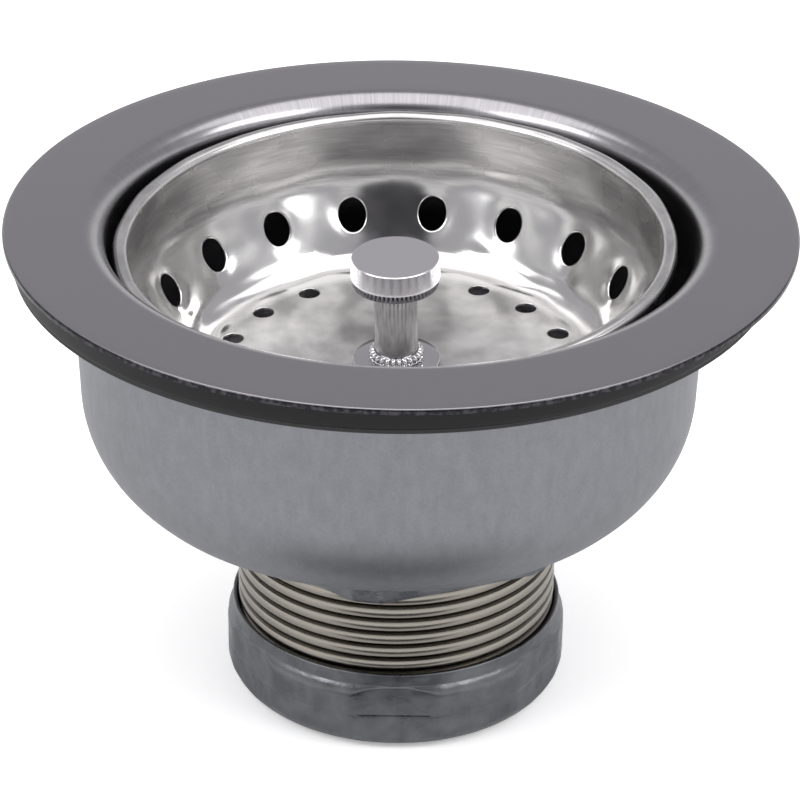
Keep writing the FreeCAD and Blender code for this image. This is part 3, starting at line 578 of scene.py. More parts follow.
# %% Cast zinc
cast_zinc, tree, shader, place = start_material("die_cast_zinc", "#63676a", 1.0, 0.34)
clouds = add(tree, "TexNoise", {"Vector": place}, patches(3.5, 5.0))
share = add(tree, "MapRange", {"Value": clouds}, middle_to(0.0, 1.0))
colour = add(tree, "Mix", {"Factor": share}, tones("#5f6164", "#707275"), data_type="RGBA")
rough = add(tree, "MapRange", {"Value": clouds}, middle_to(0.26, 0.36))
peel = add(tree, "TexNoise", {"Vector": place}, patches(0.7, 4.0))
bump = add(tree, "Bump", {"Height": peel}, raised(0.06, 0.7))
feed(shader, {"Base Color": colour, "Roughness": rough, "Normal": bump})
print("cast zinc: %d nodes" % len(tree.nodes))

# %% [markdown]
# ### Nickel plate on the thread
#
# Warm grey crests, valleys darkened to brown by painted shade, and fine marks along the thread
# from the rolling die. The attribute groove says how deep in a valley a point lies, and so how
# much painted shade it gets.

# %% Nickel-plated brass
MARK_STRETCH = (0.12, 0.12, 1.4)
nickel_brass, tree, shader, place = start_material("nickel_plated_brass", "#a7a29c", 1.0, 0.24)
# Painted shade: deeper in a valley, the colour goes to a dark brown.
groove = add(tree, "Attribute", attribute_name="groove")
colour = add(tree, "Mix", {"Factor": groove.outputs["Fac"]},
             tones("#938e86", "#2a231e"), data_type="RGBA")
stretched = add(tree, "VectorMath", {0: place}, {1: MARK_STRETCH}, operation="MULTIPLY")
marks = add(tree, "TexNoise", {"Vector": stretched}, patches(0.3, 3.0))
bump = add(tree, "Bump", {"Height": marks}, raised(0.012, 0.6))
feed(shader, {"Base Color": colour, "Normal": bump})
print("nickel brass: %d nodes" % len(tree.nodes))

# %% [markdown]
# ### The plain finishes
#
# Polished turned steel, moulded rubber, pressed fibre, zinc plate and white plastic each need
# one colour, one roughness and a fine grain. They are made in one loop from a short list. The
# knob's satin steel then gets painted light from an attribute: a painted highlight makes its side
# lighter than its top, and painted shade makes the knurl darkest.

# %% Plain finishes
PLAIN_FINISHES = (  # name, colour, metallic, roughness, the grain's width and depth
    ("turned_polished_steel", "#bfbec0", 1.0, 0.09, 0.5, 0.002),
    ("turned_satin_steel", "#eceaee", 1.0, 0.22, 0.5, 0.002),
    ("moulded_black_rubber", "#101012", 0.0, 0.50, 0.5, 0.020),
    ("pressed_fibre", "#232223", 0.0, 0.80, 0.3, 0.030),
    ("zinc_plated_steel", "#a5a7aa", 1.0, 0.30, 0.6, 0.005),
    ("moulded_white_plastic", "#dcdbd6", 0.0, 0.45, 0.6, 0.010),
)
RUBBER_SPECULAR = 0.25
plain = {}
for name, colour, metallic, roughness, grain_wide, grain_deep in PLAIN_FINISHES:
    plain[name], tree, shader, place = start_material(name, colour, metallic, roughness)
    grain = add(tree, "TexNoise", {"Vector": place}, patches(grain_wide, 3.0))
    bump = add(tree, "Bump", {"Height": grain}, raised(grain_deep, 0.5))
    feed(shader, {"Normal": bump})
turned_chrome, turned_satin, black_rubber, fibre, zinc_plate, white_plastic = plain.values()
tree = turned_satin.node_tree
# Painted light: the knob's side is painted near white as a highlight, its top less, and its
# knurled band dark as painted shade.
tone = add(tree, "Attribute", attribute_name="knob_painted_light")
colour = add(tree, "Mix", {"Factor": tone.outputs["Fac"]},
             tones("#77767a", "#f6f4f7"), data_type="RGBA")
feed(tree.nodes["Principled BSDF"], {"Base Color": colour})
rubber_shader = black_rubber.node_tree.nodes["Principled BSDF"]
rubber_shader.inputs["Specular IOR Level"].default_value = RUBBER_SPECULAR
print("plain finishes made:", ", ".join(plain))

# %% [markdown]
# ## Flange and bowl
#
# One disc of stainless sheet, drawn into a bowl. The flange stays flat and its inner edge
# rolls over a small radius into the bowl; that rounding carries the brightest line of the
# picture, so it gets many more points than the flat.

# %% Strainer body
SHEET = 0.8
FLANGE, FLANGE_ROUND = 57.15, 0.4
MOUTH, MOUTH_ROUND = 42.6, 3.4
BOWL_FOOT = MOUTH - 1.4
BOWL_FLOOR = FLANGE_TOP - 37.6
BOWL_CORNER = 12.0
NECK, NECK_ROUND = 20.2, 1.5
NECK_END = BOWL_FLOOR - 5.0
DRAWN_FADE = 1.2
CUT_WIDE, CUT_FADE = 0.25, 0.15
strainer_body = turned("flange_and_bowl", [
    (FLANGE, FLANGE_TOP, FLANGE_ROUND),
    (MOUTH, FLANGE_TOP, MOUTH_ROUND),
    (BOWL_FOOT, BOWL_FLOOR, BOWL_CORNER),
    (NECK, BOWL_FLOOR, NECK_ROUND),
    (NECK, NECK_END),
    (NECK + SHEET, NECK_END),
    (NECK + SHEET, BOWL_FLOOR - SHEET, NECK_ROUND - SHEET),
    (BOWL_FOOT + SHEET, BOWL_FLOOR - SHEET, BOWL_CORNER + SHEET),
    (MOUTH + SHEET, FLANGE_TOP - SHEET, MOUTH_ROUND - SHEET),
    (FLANGE, FLANGE_TOP - SHEET),
], turns=288, step=1.5, fine=0.2)
store(strainer_body, "drawn", lambda p: (MOUTH + MOUTH_ROUND - from_axis(p)) / DRAWN_FADE)
store(strainer_body, "cut_edge", lambda p: (from_axis(p) - FLANGE + CUT_WIDE) / CUT_FADE)
dress(strainer_body, "strainer_body", "strainer", satin_stainless)

# %% [markdown]
# ## Outlet stub
#
# A tube with an outside thread of 11.5 turns to the inch. The thread is rolled, so its crests
# are broad and a little round and its valleys are narrow. Its grid is sheared: each row climbs
# by one pitch in one turn, so the rows follow the thread's edges and stay sharp. The last
# column joins the first one pitch further along.

# %% Thread
PITCH = 25.4 / 11.5
CREST = 23.8
ROOT = 23.1
VALLEY = FLANGE_TOP - 59.75
STUB_LOW, STUB_HIGH = 4.6, 36.6
STUB_BORE = NECK + SHEET + 0.05
STUB_CHAMFER = 1.0
ROOT_FLAT = 0.08
SIDE = 0.34
CROWN = 0.14
CREST_ROWS = (0.53, 0.68, 0.88)
VALLEY_SHADE_START = 0.16
THREAD_COLUMNS = 288


def thread_radius(away):
    """Radius at a height away from the nearest valley's middle.

    A narrow flat root, then a side that climbs evenly to CROWN below the crest, then a crest
    that is a parabola with its top midway between two valleys.
    """
    away = np.abs(away)
    side = ROOT + (CREST - CROWN - ROOT) * (away - ROOT_FLAT) / SIDE
    from_middle = (PITCH / 2 - away) / (PITCH / 2 - ROOT_FLAT - SIDE)
    crest = CREST - CROWN * from_middle ** 2
    return np.where(away < ROOT_FLAT + SIDE, np.maximum(side, ROOT), crest)


half_rows = np.array([ROOT_FLAT, ROOT_FLAT + SIDE / 2, ROOT_FLAT + SIDE, *CREST_ROWS])
rows = np.concatenate([[-ROOT_FLAT], half_rows, [PITCH / 2], PITCH - half_rows[:0:-1]])
shares = rows / PITCH
rows_per_pitch = len(shares)
pitches = math.ceil((STUB_HIGH - STUB_LOW) / PITCH) + 2
row_shift = (np.arange(pitches)[:, None] + shares).ravel() * PITCH
angle = full_turn(THREAD_COLUMNS)
first_valley = VALLEY - PITCH * math.ceil((VALLEY - STUB_LOW) / PITCH + 1)
climb = PITCH * (angle + math.pi / 2) / (2 * math.pi)
height = np.clip(first_valley + row_shift[:, None] + climb, STUB_LOW, STUB_HIGH)
phase = (height - VALLEY - climb) / PITCH
radius = thread_radius((phase - np.round(phase)) * PITCH)
radius = np.minimum(radius, CREST - STUB_CHAMFER + (height - STUB_LOW))
outer = ring_points(radius, height, angle)
bore_ends = np.array([[STUB_LOW], [STUB_HIGH]])
bore = ring_points(np.full((2, 1), STUB_BORE), bore_ends, angle)
print("thread of %d rows to a pitch, %d pitches" % (rows_per_pitch, pitches))

# %% [markdown]
# The thread's faces join each point to its neighbours on the sheared grid. At the last column
# the neighbour is the first column's point a whole pitch of rows further along. Rings of faces
# close both ends of the tube and its bore.

# %% Faces of the thread
index = np.arange(radius.size).reshape(radius.shape)
step_on = np.vstack([index[rows_per_pitch:, :1], np.repeat(index[-1:, :1], rows_per_pitch, 0)])
beside = np.hstack([index[:, 1:], step_on])
outer_faces = np.stack([index[:-1], beside[:-1], beside[1:], index[1:]], -1).reshape(-1, 4)
bore_index = index.size + np.arange(2 * THREAD_COLUMNS).reshape(2, THREAD_COLUMNS)
next_bore = np.roll(bore_index, -1, 1)
first_ring, last_ring = index[0], index[-1]
low_end = np.stack([first_ring, bore_index[0], next_bore[0], np.roll(first_ring, -1)], -1)
high_end = np.stack([last_ring, np.roll(last_ring, -1), next_bore[1], bore_index[1]], -1)
inside = np.stack([bore_index[0], bore_index[1], next_bore[1], next_bore[0]], -1)
outlet_stub = link_mesh("threaded_outlet",
                        np.vstack([outer.reshape(-1, 3), bore.reshape(-1, 3)]),
                        np.vstack([outer_faces, low_end, high_end, inside]), merge=2e-3)
# The painted shade in the valleys starts a little below the crest and is full at the root.
VALLEY_SHADE_TOP = CREST - VALLEY_SHADE_START
store(outlet_stub, "groove", lambda p: (VALLEY_SHADE_TOP - from_axis(p)) / (VALLEY_SHADE_TOP - ROOT))
dress(outlet_stub, "outlet_stub", "strainer", nickel_brass)

# %% [markdown]
# ## Rings under the flange
#
# The rubber gasket and the thin fibre ring hang loosely on the bowl and lie a little off its
# axis, as the photograph shows. Both are cut or moulded flat, so their sections are plain.

# %% Gasket and friction ring
GASKET_TOP = FLANGE_TOP - SHEET
GASKET_LOW = GASKET_TOP - 3.45
FRICTION_LOW = GASKET_LOW - 0.6
GASKET_IN = MOUTH + MOUTH_ROUND + 2.0
GASKET_OUT, GASKET_ROUND = GASKET_IN + 7.2, 0.5
FRICTION_OUT = GASKET_OUT - 0.3
RING_PLACE = (-0.9, 0.0)
gasket = turned("sink_gasket_ring", [
    (GASKET_IN, GASKET_LOW), (GASKET_OUT, GASKET_LOW, GASKET_ROUND),
    (GASKET_OUT, GASKET_TOP, GASKET_ROUND), (GASKET_IN, GASKET_TOP),
], centre=RING_PLACE, turns=300)
dress(gasket, "sink_gasket", "cup_group", black_rubber)
friction = turned("friction_ring_flat", [
    (GASKET_IN, FRICTION_LOW), (FRICTION_OUT, FRICTION_LOW),
    (FRICTION_OUT, GASKET_LOW), (GASKET_IN, GASKET_LOW),
], centre=RING_PLACE, turns=300)
dress(friction, "friction_ring", "cup_group", fibre)

# %% [markdown]
# ## Cup
#
# Deep drawn from one disc of galvanised sheet: a short lip under the rings, a wall that narrows
# slowly, and a floor that rises to it over a bevel with wide round corners. The inner skin
# follows the outer one at the sheet's thickness.

# %% Outer cup
CUP_SHEET = 0.6
CUP_TOP, CUP_LOW = 46.0, 44.8
CUP_LIP = CUP_TOP + 2.8
CUP_BOTTOM = 34.6
CUP_BEVEL = 7.44
CUP_HOLE = CREST + 0.4 + 1.5
CUP_PLACE = (-1.5, 0.0)
INNER_SHIFT = CUP_SHEET * math.tan(math.radians(22.5))
cup = turned("galvanised_cup", [
    (CUP_LIP, FRICTION_LOW),
    (CUP_LIP, FRICTION_LOW - CUP_SHEET),
    (CUP_TOP, FRICTION_LOW - CUP_SHEET, 0.9),
    (CUP_LOW, CUP_BOTTOM + CUP_BEVEL, 17.5),
    (CUP_LOW - CUP_BEVEL, CUP_BOTTOM, 7.0),
    (CUP_HOLE, CUP_BOTTOM),
    (CUP_HOLE, CUP_BOTTOM + CUP_SHEET),
    (CUP_LOW - CUP_BEVEL - INNER_SHIFT, CUP_BOTTOM + CUP_SHEET, 6.4),
    (CUP_LOW - CUP_SHEET, CUP_BOTTOM + CUP_BEVEL + INNER_SHIFT, 16.9),
    (CUP_TOP - CUP_SHEET, FRICTION_LOW, 1.5),
], centre=CUP_PLACE, turns=320, step=1.2, fine=0.4)
dress(cup, "outer_cup", "cup_group", galvanised)

# %% [markdown]
# ## Cast surfaces
#
# Both nuts are cast, so their corners are soft. The radius of the outside is the smaller of
# a circle and a hexagon, blended where the two meet, and it varies a little from the casting:
# a sum of waves from a seeded generator, so it is the same on each run.

# %% Helpers for cast surfaces
WAVES = 12
FEWEST_AROUND = 3
LUMP_RADIUS = 25
CAST_COLUMNS = 480
cast_angle = full_turn(CAST_COLUMNS)


def soft_least(first, second, blend):
    """The smaller of two lengths, rounded over a distance blend where they cross."""
    share = np.clip(0.5 + 0.5 * (second - first) / blend, 0, 1)
    return second + (first - second) * share - blend * share * (1 - share)


def hexagon(angle, flat, heading):
    """Distance to the side of a hexagon; heading is the direction of one side's middle."""
    off = (angle - heading + math.pi / 6) % (math.pi / 3) - math.pi / 6
    return flat / np.cos(off)


def lumps(angle, height, seed, size, depth):
    """Sum of waves round and along the casting, each about size wide, all at most depth high."""
    random = np.random.default_rng(seed)
    total = np.zeros(np.broadcast(angle, height).shape)
    most_around = max(FEWEST_AROUND + 1, int(2 * math.pi * LUMP_RADIUS / size))
    for _ in range(WAVES):
        around = random.integers(FEWEST_AROUND, most_around)
        along = random.uniform(-1, 1) * 2 * math.pi / size
        total = total + np.sin(around * angle + along * height + random.uniform(0, 2 * math.pi))
    return total * depth / WAVES


def repeated(line):
    """Radii and heights of a profile, the same in each of the cast pieces' columns."""
    return np.repeat(line[:, :1], CAST_COLUMNS, 1), np.repeat(line[:, 1:], CAST_COLUMNS, 1)


print("a hexagon 10 mm to its flats is %.2f mm to its corners" % hexagon(math.pi / 6, 10, 0))

# %% [markdown]
# ## Coupling nut
#
# Cast in a die of two halves that meet in a level plane, which leaves a seam. Between its flats
# the nut keeps parts of its round outline. Its foot has a wide round edge, and on top a small
# chamfer leads to a narrow collar.

# %% Coupling nut
NUT_BORE = CREST + 0.1
NUT_TOP = 13.0
NUT_RADIUS, FOOT_ROUND = 25.4, 3.9
NUT_COLLAR = NUT_RADIUS - 0.8
COLLAR_LOW = NUT_TOP - 2.0
CHAMFER_LOW, CHAMFER_ROUND = COLLAR_LOW - 1.0, 2.6
BORE_CHAMFER, OUTSIDE_FADE = 0.3, 0.5
NUT_FLAT, CORNER_BLEND = 24.65, 0.2
NUT_LIP = 2.6
NUT_HOLE = 19.6
SEAM, SEAM_DEEP, SEAM_WIDE = 6.0, 0.16, 0.13
SEAM_LEAST, SEAM_EARLY, SEAM_FADE = 0.25, 0.1, 0.3
SEAM_ROWS = (-0.4, -0.2, -0.1, 0.0, 0.1, 0.2, 0.4)
line = outline([
    (NUT_HOLE, 0.0), (NUT_RADIUS, 0.0, FOOT_ROUND),
    *((NUT_RADIUS, SEAM + off) for off in SEAM_ROWS),
    (NUT_RADIUS, CHAMFER_LOW, CHAMFER_ROUND), (NUT_COLLAR, COLLAR_LOW + 0.05, 0.3),
    (NUT_COLLAR, NUT_TOP, 0.2), (NUT_BORE + BORE_CHAMFER, NUT_TOP),
    (NUT_BORE, NUT_TOP - BORE_CHAMFER), (NUT_BORE, NUT_LIP), (NUT_HOLE, NUT_LIP),
], step=0.3, fine=0.15)
radius, height = repeated(line)
side = hexagon(cast_angle, NUT_FLAT, math.radians(-90))
outside = np.clip((radius - NUT_BORE - BORE_CHAMFER) / OUTSIDE_FADE, 0, 1)
flattened = soft_least(radius, side + lumps(cast_angle, height, seed=4, size=6, depth=0.06),
                       CORNER_BLEND)
# The seam is a shallow groove, deeper on the flats than on the round parts between them.
on_flat = np.clip((radius - side + SEAM_EARLY) / SEAM_FADE, SEAM_LEAST, 1)
seam = SEAM_DEEP * on_flat * np.exp(-((height - SEAM) / SEAM_WIDE) ** 2)
rough_skin = lumps(cast_angle, height, seed=5, size=3, depth=0.07)
radius = radius + (flattened - radius - seam) * outside + rough_skin * outside
coupling_nut = grid_mesh("cast_coupling_nut", ring_points(radius, height, cast_angle),
                         smooth_below=50)
dress(coupling_nut, "coupling_nut", "coupling_nut_turning", cast_zinc)

# %% [markdown]
# ## Locknut
#
# A thin cast hexagon with its corners cut, under a round bearing flange that holds the cup up.
# Its profile is drawn at the reach of the corners. Below the flange the radius then shrinks to
# the wrench's outline.

# %% Locknut
LOCK_TOP = CUP_BOTTOM
LOCK_LOW = LOCK_TOP - 7.8
LOCK_UNDER = LOCK_TOP - 3.4
LOCK_FLANGE = NUT_BORE + 6.6
LOCK_FLAT = NUT_BORE + 0.9
LOCK_REACH = LOCK_FLAT / math.cos(math.pi / 6) - 1.25
LOCK_HEADING = math.radians(-98.5)
LOCK_BLEND = 0.4
SAME_HEIGHT = 0.01
PLAIN_BORE = 0.4
line = outline([
    (NUT_BORE, LOCK_LOW), (LOCK_REACH, LOCK_LOW, 0.3), (LOCK_REACH, LOCK_UNDER),
    (LOCK_FLANGE, LOCK_UNDER, 0.4), (LOCK_FLANGE, LOCK_TOP), (NUT_BORE, LOCK_TOP),
], step=0.4, fine=0.1)
radius, height = repeated(line)
flats = hexagon(cast_angle, LOCK_FLAT, LOCK_HEADING + math.pi / 6)
cut_corners = hexagon(cast_angle, LOCK_REACH, LOCK_HEADING)
wrench = soft_least(flats, cut_corners, LOCK_BLEND)
from_bore = (radius - NUT_BORE) / (LOCK_REACH - NUT_BORE)
from_flange = (LOCK_FLANGE - radius) / (LOCK_FLANGE - LOCK_REACH)
near_reach = np.clip(np.minimum(from_bore, from_flange), 0, 1)
near_reach = np.where(height > LOCK_UNDER + SAME_HEIGHT, 0, near_reach)
radius = radius - (LOCK_REACH - wrench) * near_reach
rough_skin = lumps(cast_angle, height, seed=6, size=4, depth=0.05)
radius = radius + rough_skin * (radius > NUT_BORE + PLAIN_BORE)
locknut = grid_mesh("cast_locknut", ring_points(radius, height, cast_angle), smooth_below=50)
dress(locknut, "locknut", "locknut_turning", cast_zinc)

# %% [markdown]
# ## Tail washer
#
# A flat plastic washer in the coupling nut, between the outlet's end and the pipe that the nut
# holds. It is hidden at rest and shows when the nut is off.

# %% Washer in the coupling nut
WASHER_IN, WASHER_OUT = NUT_HOLE + 0.1, CREST - 0.1
tail_washer = turned("tailpiece_washer", [
    (WASHER_IN, NUT_LIP), (WASHER_OUT, NUT_LIP), (WASHER_OUT, STUB_LOW), (WASHER_IN, STUB_LOW),
])
dress(tail_washer, "tail_washer", "washer_group", white_plastic)

# %% [markdown]
# ## The basket
#
# Thin sheet, drawn to a floor, a wide round corner, a sloped shoulder and an upper wall with
# a rolled rim, then pierced with two circles of holes. The surface is a function of the angle
# and of the distance along its profile. Round each hole the grid changes from a rectangle at
# the sector's edge to the hole's oval, so each edge is smooth, and there the sheet is turned
# down a little, as a punch leaves it.

# %% Basket profile
HOLES = 18
SECTOR = 2 * math.pi / HOLES
ACROSS = 16
HOLE_HEADING = math.radians(101.4)
BASKET_SHEET = 0.5
FLOOR_MIDDLE = 18.6
FLOOR_EDGE = FLOOR_MIDDLE - 1.3
FLOOR_RADIUS, WALL_RADIUS = 31.1, 38.3
SHOULDER_SLOPE = math.radians(60)
SHOULDER_HIGH = FLOOR_EDGE + (WALL_RADIUS - FLOOR_RADIUS) * math.tan(SHOULDER_SLOPE)
CORNER_ROUND, SHOULDER_ROUND, RIM_ROUND = 5.0, 10.0, 1.13
RIM_TOP, RIM_OUT, RIM_SKIRT = 39.1, 40.6, 1.8
POST_HOLE = 2.55
WAVES_START, WAVES_FADE = 8.0, 4.0
NEARBY = 0.05
basket_line = outline([
    (POST_HOLE, FLOOR_MIDDLE),
    (FLOOR_RADIUS, FLOOR_EDGE, CORNER_ROUND),
    (WALL_RADIUS, SHOULDER_HIGH, SHOULDER_ROUND),
    (WALL_RADIUS, RIM_TOP, RIM_ROUND),
    (RIM_OUT, RIM_TOP, RIM_ROUND),
    (RIM_OUT, RIM_TOP - RIM_SKIRT),
], closed=False, step=0.1, fine=0.05)
lengths = np.linalg.norm(np.diff(basket_line, axis=0), axis=1)
travelled = np.concatenate([[0], np.cumsum(lengths)])


def profile_at(along):
    """Radius and height of the profile at a distance along it."""
    return np.stack([np.interp(along, travelled, basket_line[:, k]) for k in (0, 1)])


def on_basket(angle, along, press=0.0):
    """Point of the basket's inner skin at an angle and a distance along the profile.

    press moves the point off the skin, along the profile's normal, away from the inside. The
    skin also waves by a few hundredths of a millimetre, as thin drawn sheet does.
    """
    waves = lumps(angle, along, seed=8, size=7, depth=0.22)
    press = press + waves * np.clip((along - WAVES_START) / WAVES_FADE, 0, 1)
    radius, height = profile_at(along)
    way = profile_at(along + NEARBY) - profile_at(along - NEARBY)
    way = way / np.linalg.norm(way, axis=0)
    return ring_points(radius + press * way[1], height - press * way[0], angle)


def along_at(radius):
    """Distance along the profile where it first reaches a radius."""
    return travelled[np.where(basket_line[:, 0] >= radius)[0][0]]


print("basket's profile: %d points, %.1f mm along" % (len(basket_line), travelled[-1]))

# %% [markdown]
# The skin is made of bands: plain ones, and pierced ones with the holes of one circle. All have
# the same columns at their edges, so they join without gaps.

# %% Bands of the basket
CLOSE_RINGS, FAR_RINGS = 4, 10
CLOSE_SHARE, RING_GROWTH = 0.09, 1.3
close_steps = np.linspace(0, CLOSE_SHARE, CLOSE_RINGS + 1)[:-1]
far_steps = CLOSE_SHARE + (1 - CLOSE_SHARE) * np.linspace(0, 1, FAR_RINGS) ** RING_GROWTH
RING_STEPS = np.concatenate([close_steps, far_steps])
DISH_WIDE = 1.3
DISH_FADE = 1.5
TURN_REACH = 1.6


def plain_band(start, stop, step):
    """Grid of the skin between two distances, with the columns that the pierced bands have."""
    rows = np.linspace(start, stop, max(2, math.ceil((stop - start) / step) + 1))
    angle = HOLE_HEADING - SECTOR / 2 + np.arange(HOLES * ACROSS) / ACROSS * SECTOR
    points = on_basket(angle[None, :], rows[:, None])
    return points.reshape(-1, 3), grid_faces(len(rows), HOLES * ACROSS, wrap_rows=False)


def pierced_band(start, stop, middle, circle, half_wide, half_long, upright, turned_down, dished):
    """Grid round the holes of one circle.

    Each sector's rectangle, given by angle and distance, has the hole's oval in its middle.
    Points run round the rectangle's edge and shrink towards the oval in uneven steps. The
    last rings before the hole are pressed down by turned_down in a quarter circle, and a wider
    shallow dish, dished deep, falls off as exp(-(distance / DISH_WIDE) squared) round the hole.
    """
    sweep = np.linspace(-0.5, 0.5, ACROSS + 1)[:-1]
    rise = np.linspace(-1, 1, upright + 1)[:-1]
    sides = ((sweep, -1.0), (0.5, rise), (-sweep, 1.0), (-0.5, -rise))
    edge = np.vstack([np.stack(np.broadcast_arrays(*side), 1) for side in sides])
    half_sector = SECTOR / 2 * circle
    x_edge = edge[:, 0] * 2 * half_sector
    y_edge = np.where(edge[:, 1] < 0, (middle - start), (stop - middle)) * edge[:, 1]
    way = np.arctan2(y_edge / half_long, x_edge / half_wide)
    x_hole, y_hole = half_wide * np.cos(way), half_long * np.sin(way)
    x = x_hole + (x_edge - x_hole) * RING_STEPS[:, None]
    y = y_hole + (y_edge - y_hole) * RING_STEPS[:, None]
    reach = np.hypot(x - x_hole, y - y_hole)
    close = np.clip(1 - reach / (turned_down * TURN_REACH), 0, 1)
    press = turned_down * (1 - np.sqrt(np.maximum(1 - close ** 2, 0)))
    room = np.where(y < 0, middle + y - start, stop - middle - y)
    dish = dished * np.exp(-(reach / DISH_WIDE) ** 2) * np.clip(room / DISH_FADE, 0, 1)
    faces = grid_faces(len(RING_STEPS), len(edge), wrap_rows=False)
    sectors = []
    for k in range(HOLES):
        angle = HOLE_HEADING + k * SECTOR + x / circle
        sectors.append((on_basket(angle, middle + y, press + dish).reshape(-1, 3), faces))
    return join(sectors)


def join(parts):
    """One list of points and one of faces from several."""
    points, faces, count = [], [], 0
    for some_points, some_faces in parts:
        points.append(some_points)
        faces.append(some_faces + count)
        count += len(some_points)
    return np.vstack(points), np.vstack(faces)


print("each sector's grid has %d rings round its hole" % len(RING_STEPS))

# %% [markdown]
# Two circles of holes: round ones in the floor, and upright ovals on the shoulder, which look
# round from the front. The skin gets its thickness outwards from a solidify modifier. The
# attribute "satin" is highest on the brushed floor, less on the wall above the shoulder, and
# zero on the bright shoulder and the corner.

# %% Basket mesh
FLOOR_CIRCLE, WALL_CIRCLE = 25.6, 35.05
FLOOR_HOLE = {"half_wide": 1.55, "half_long": 1.55, "turned_down": 0.16, "dished": 0.05}
WALL_HOLE = {"half_wide": 2.03, "half_long": 2.60, "turned_down": 0.22, "dished": 0.15}
FLOOR_BAND, WALL_BAND_LOW, WALL_BAND_HIGH = 3.6, 5.6, 6.2
WALL_SATIN, SATIN_BELOW, SATIN_WALL_FADE = 0.68, 3.4, 3.0
SATIN_INSIDE, SATIN_FLOOR_FADE = 3.2, 1.6
floor_middle, wall_middle = along_at(FLOOR_CIRCLE), along_at(WALL_CIRCLE)
floor_start, floor_stop = floor_middle - FLOOR_BAND, floor_middle + FLOOR_BAND
wall_start, wall_stop = wall_middle - WALL_BAND_LOW, wall_middle + WALL_BAND_HIGH
rim_start = travelled[np.where(basket_line[:, 1] >= RIM_TOP - 1.6)[0][0]]
basket_points, basket_faces = join([
    plain_band(0.0, floor_start, 2.2),
    pierced_band(floor_start, floor_stop, floor_middle, FLOOR_CIRCLE, upright=12, **FLOOR_HOLE),
    plain_band(floor_stop, wall_start, 0.25),
    pierced_band(wall_start, wall_stop, wall_middle, WALL_CIRCLE, upright=20, **WALL_HOLE),
    plain_band(wall_stop, rim_start, 0.6),
    plain_band(rim_start, travelled[-1], 0.19),
])
basket = link_mesh("pierced_basket", lean(basket_points), basket_faces,
                   smooth_below=60, merge=3e-3)


def satin_rule(points):
    """WALL_SATIN on the wall above the shoulder, 1 on the floor, 0 between them."""
    local = unlean(points)
    on_wall = np.clip((local[:, 2] - SHOULDER_HIGH + SATIN_BELOW) / SATIN_WALL_FADE, 0, 1)
    inside_corner = FLOOR_RADIUS - SATIN_INSIDE - from_axis(local)
    on_floor = np.clip(inside_corner / SATIN_FLOOR_FADE, 0, 1)
    return np.maximum(WALL_SATIN * on_wall, on_floor)


store(basket, "satin", satin_rule)
wall = basket.modifiers.new("sheet", "SOLIDIFY")
wall.thickness = BASKET_SHEET * MM
wall.offset = -1.0
dress(basket, "basket", "basket_group", bright_stainless)

# %% [markdown]
# ## Knob
#
# Turned on a lathe. Its top and side are smooth, and a band under them is knurled for the
# fingers. A knurl is rolled in, so its grooves are the same all round: the radius shrinks with
# the angle by a rule that has one sharp valley for each groove.

# %% Knurled knob
KNOB_TOP = 35.63
KNOB_SIDE_LOW = KNOB_TOP - 3.1
KNOB_LOW = KNOB_SIDE_LOW - 1.2
KNOB = 6.35
GRIP = 6.3
KNOB_BORE, BORE_HIGH = 2.03, KNOB_LOW + 2.43
# Share of the painted highlight that the knob's top gets.
TOP_PAINTED_LIGHT = 0.62
TONE_EDGE, TONE_FADE = 0.1, 0.15


def knurled(name, corners, band, grooves, depth, turns):
    """A leaned, turned piece whose radius has grooves within a band.

    The band is its lowest and highest height and its least radius. There the radius loses
    depth times (1 - |cos(grooves times half the angle)|).
    """
    line = outline(corners, step=0.4, fine=0.08)
    points = ring_points(line[:, :1], line[:, 1:], full_turn(turns))
    angle = np.arctan2(points[..., 1], points[..., 0])
    radius = np.hypot(points[..., 0], points[..., 1])
    lowest, highest, least = band
    share = (line[:, 1] >= lowest) & (line[:, 1] <= highest) & (line[:, 0] >= least)
    cut = depth * (1 - np.abs(np.cos(grooves * angle / 2))) * share[:, None]
    scale = np.where(radius > 0, (radius - cut) / np.maximum(radius, 1e-9), 0)
    points[..., :2] *= scale[..., None]
    return grid_mesh(name, points, place=lean, smooth_below=35)


def knob_painted_light_rule(points):
    """Painted light: 1, a painted highlight, on the smooth side, a share of it on the top, 0,
    painted shade, in the knurl.
    """
    local = unlean(points)
    on_top = np.clip((local[:, 2] - KNOB_TOP + TONE_EDGE) / TONE_EDGE, 0, 1)
    on_side = np.clip((local[:, 2] - KNOB_SIDE_LOW + TONE_EDGE) / TONE_FADE, 0, 1)
    return on_side - (1 - TOP_PAINTED_LIGHT) * on_top


knob = knurled("turned_knob", [
    (0.0, KNOB_TOP), (0.0, BORE_HIGH), (KNOB_BORE, BORE_HIGH), (KNOB_BORE, KNOB_LOW),
    (GRIP, KNOB_LOW, 0.15), (GRIP, KNOB_SIDE_LOW, 0.05), (KNOB + 0.2, KNOB_SIDE_LOW, 0.12),
    (KNOB, KNOB_TOP - 0.12), (KNOB - 0.12, KNOB_TOP, 0.04),
], (KNOB_LOW + 0.25, KNOB_SIDE_LOW - 0.02, GRIP - 0.3), grooves=60, depth=0.30, turns=480)
store(knob, "knob_painted_light", knob_painted_light_rule)
dress(knob, "knob", "basket_group", turned_satin)

# %% [markdown]
# ## Post, collar and washer
#
# The polished post carries the knob. At its foot a collar with coarse, round beads stands on a
# thin washer, and a thinner stud goes on below through the basket's floor.

# %% Turned and knurled pieces of the post
POST, STUD = 3.2, 2.5
STUD_BORE = STUD + 0.05
STUD_END = -3.5
POST_TIP, TIP_TOP = 2.0, KNOB_LOW + 2.4
POST_FOOT = FLOOR_MIDDLE + 0.4
COLLAR, COLLAR_TOP = 4.05, POST_FOOT + 1.6
WASHER = 6.4


def leaning(name, corners, turns=160):
    """A turned piece of the basket, given by radius and height above the pivot, and leaned."""
    return turned(name, corners, turns, fine=0.1, place=lean)


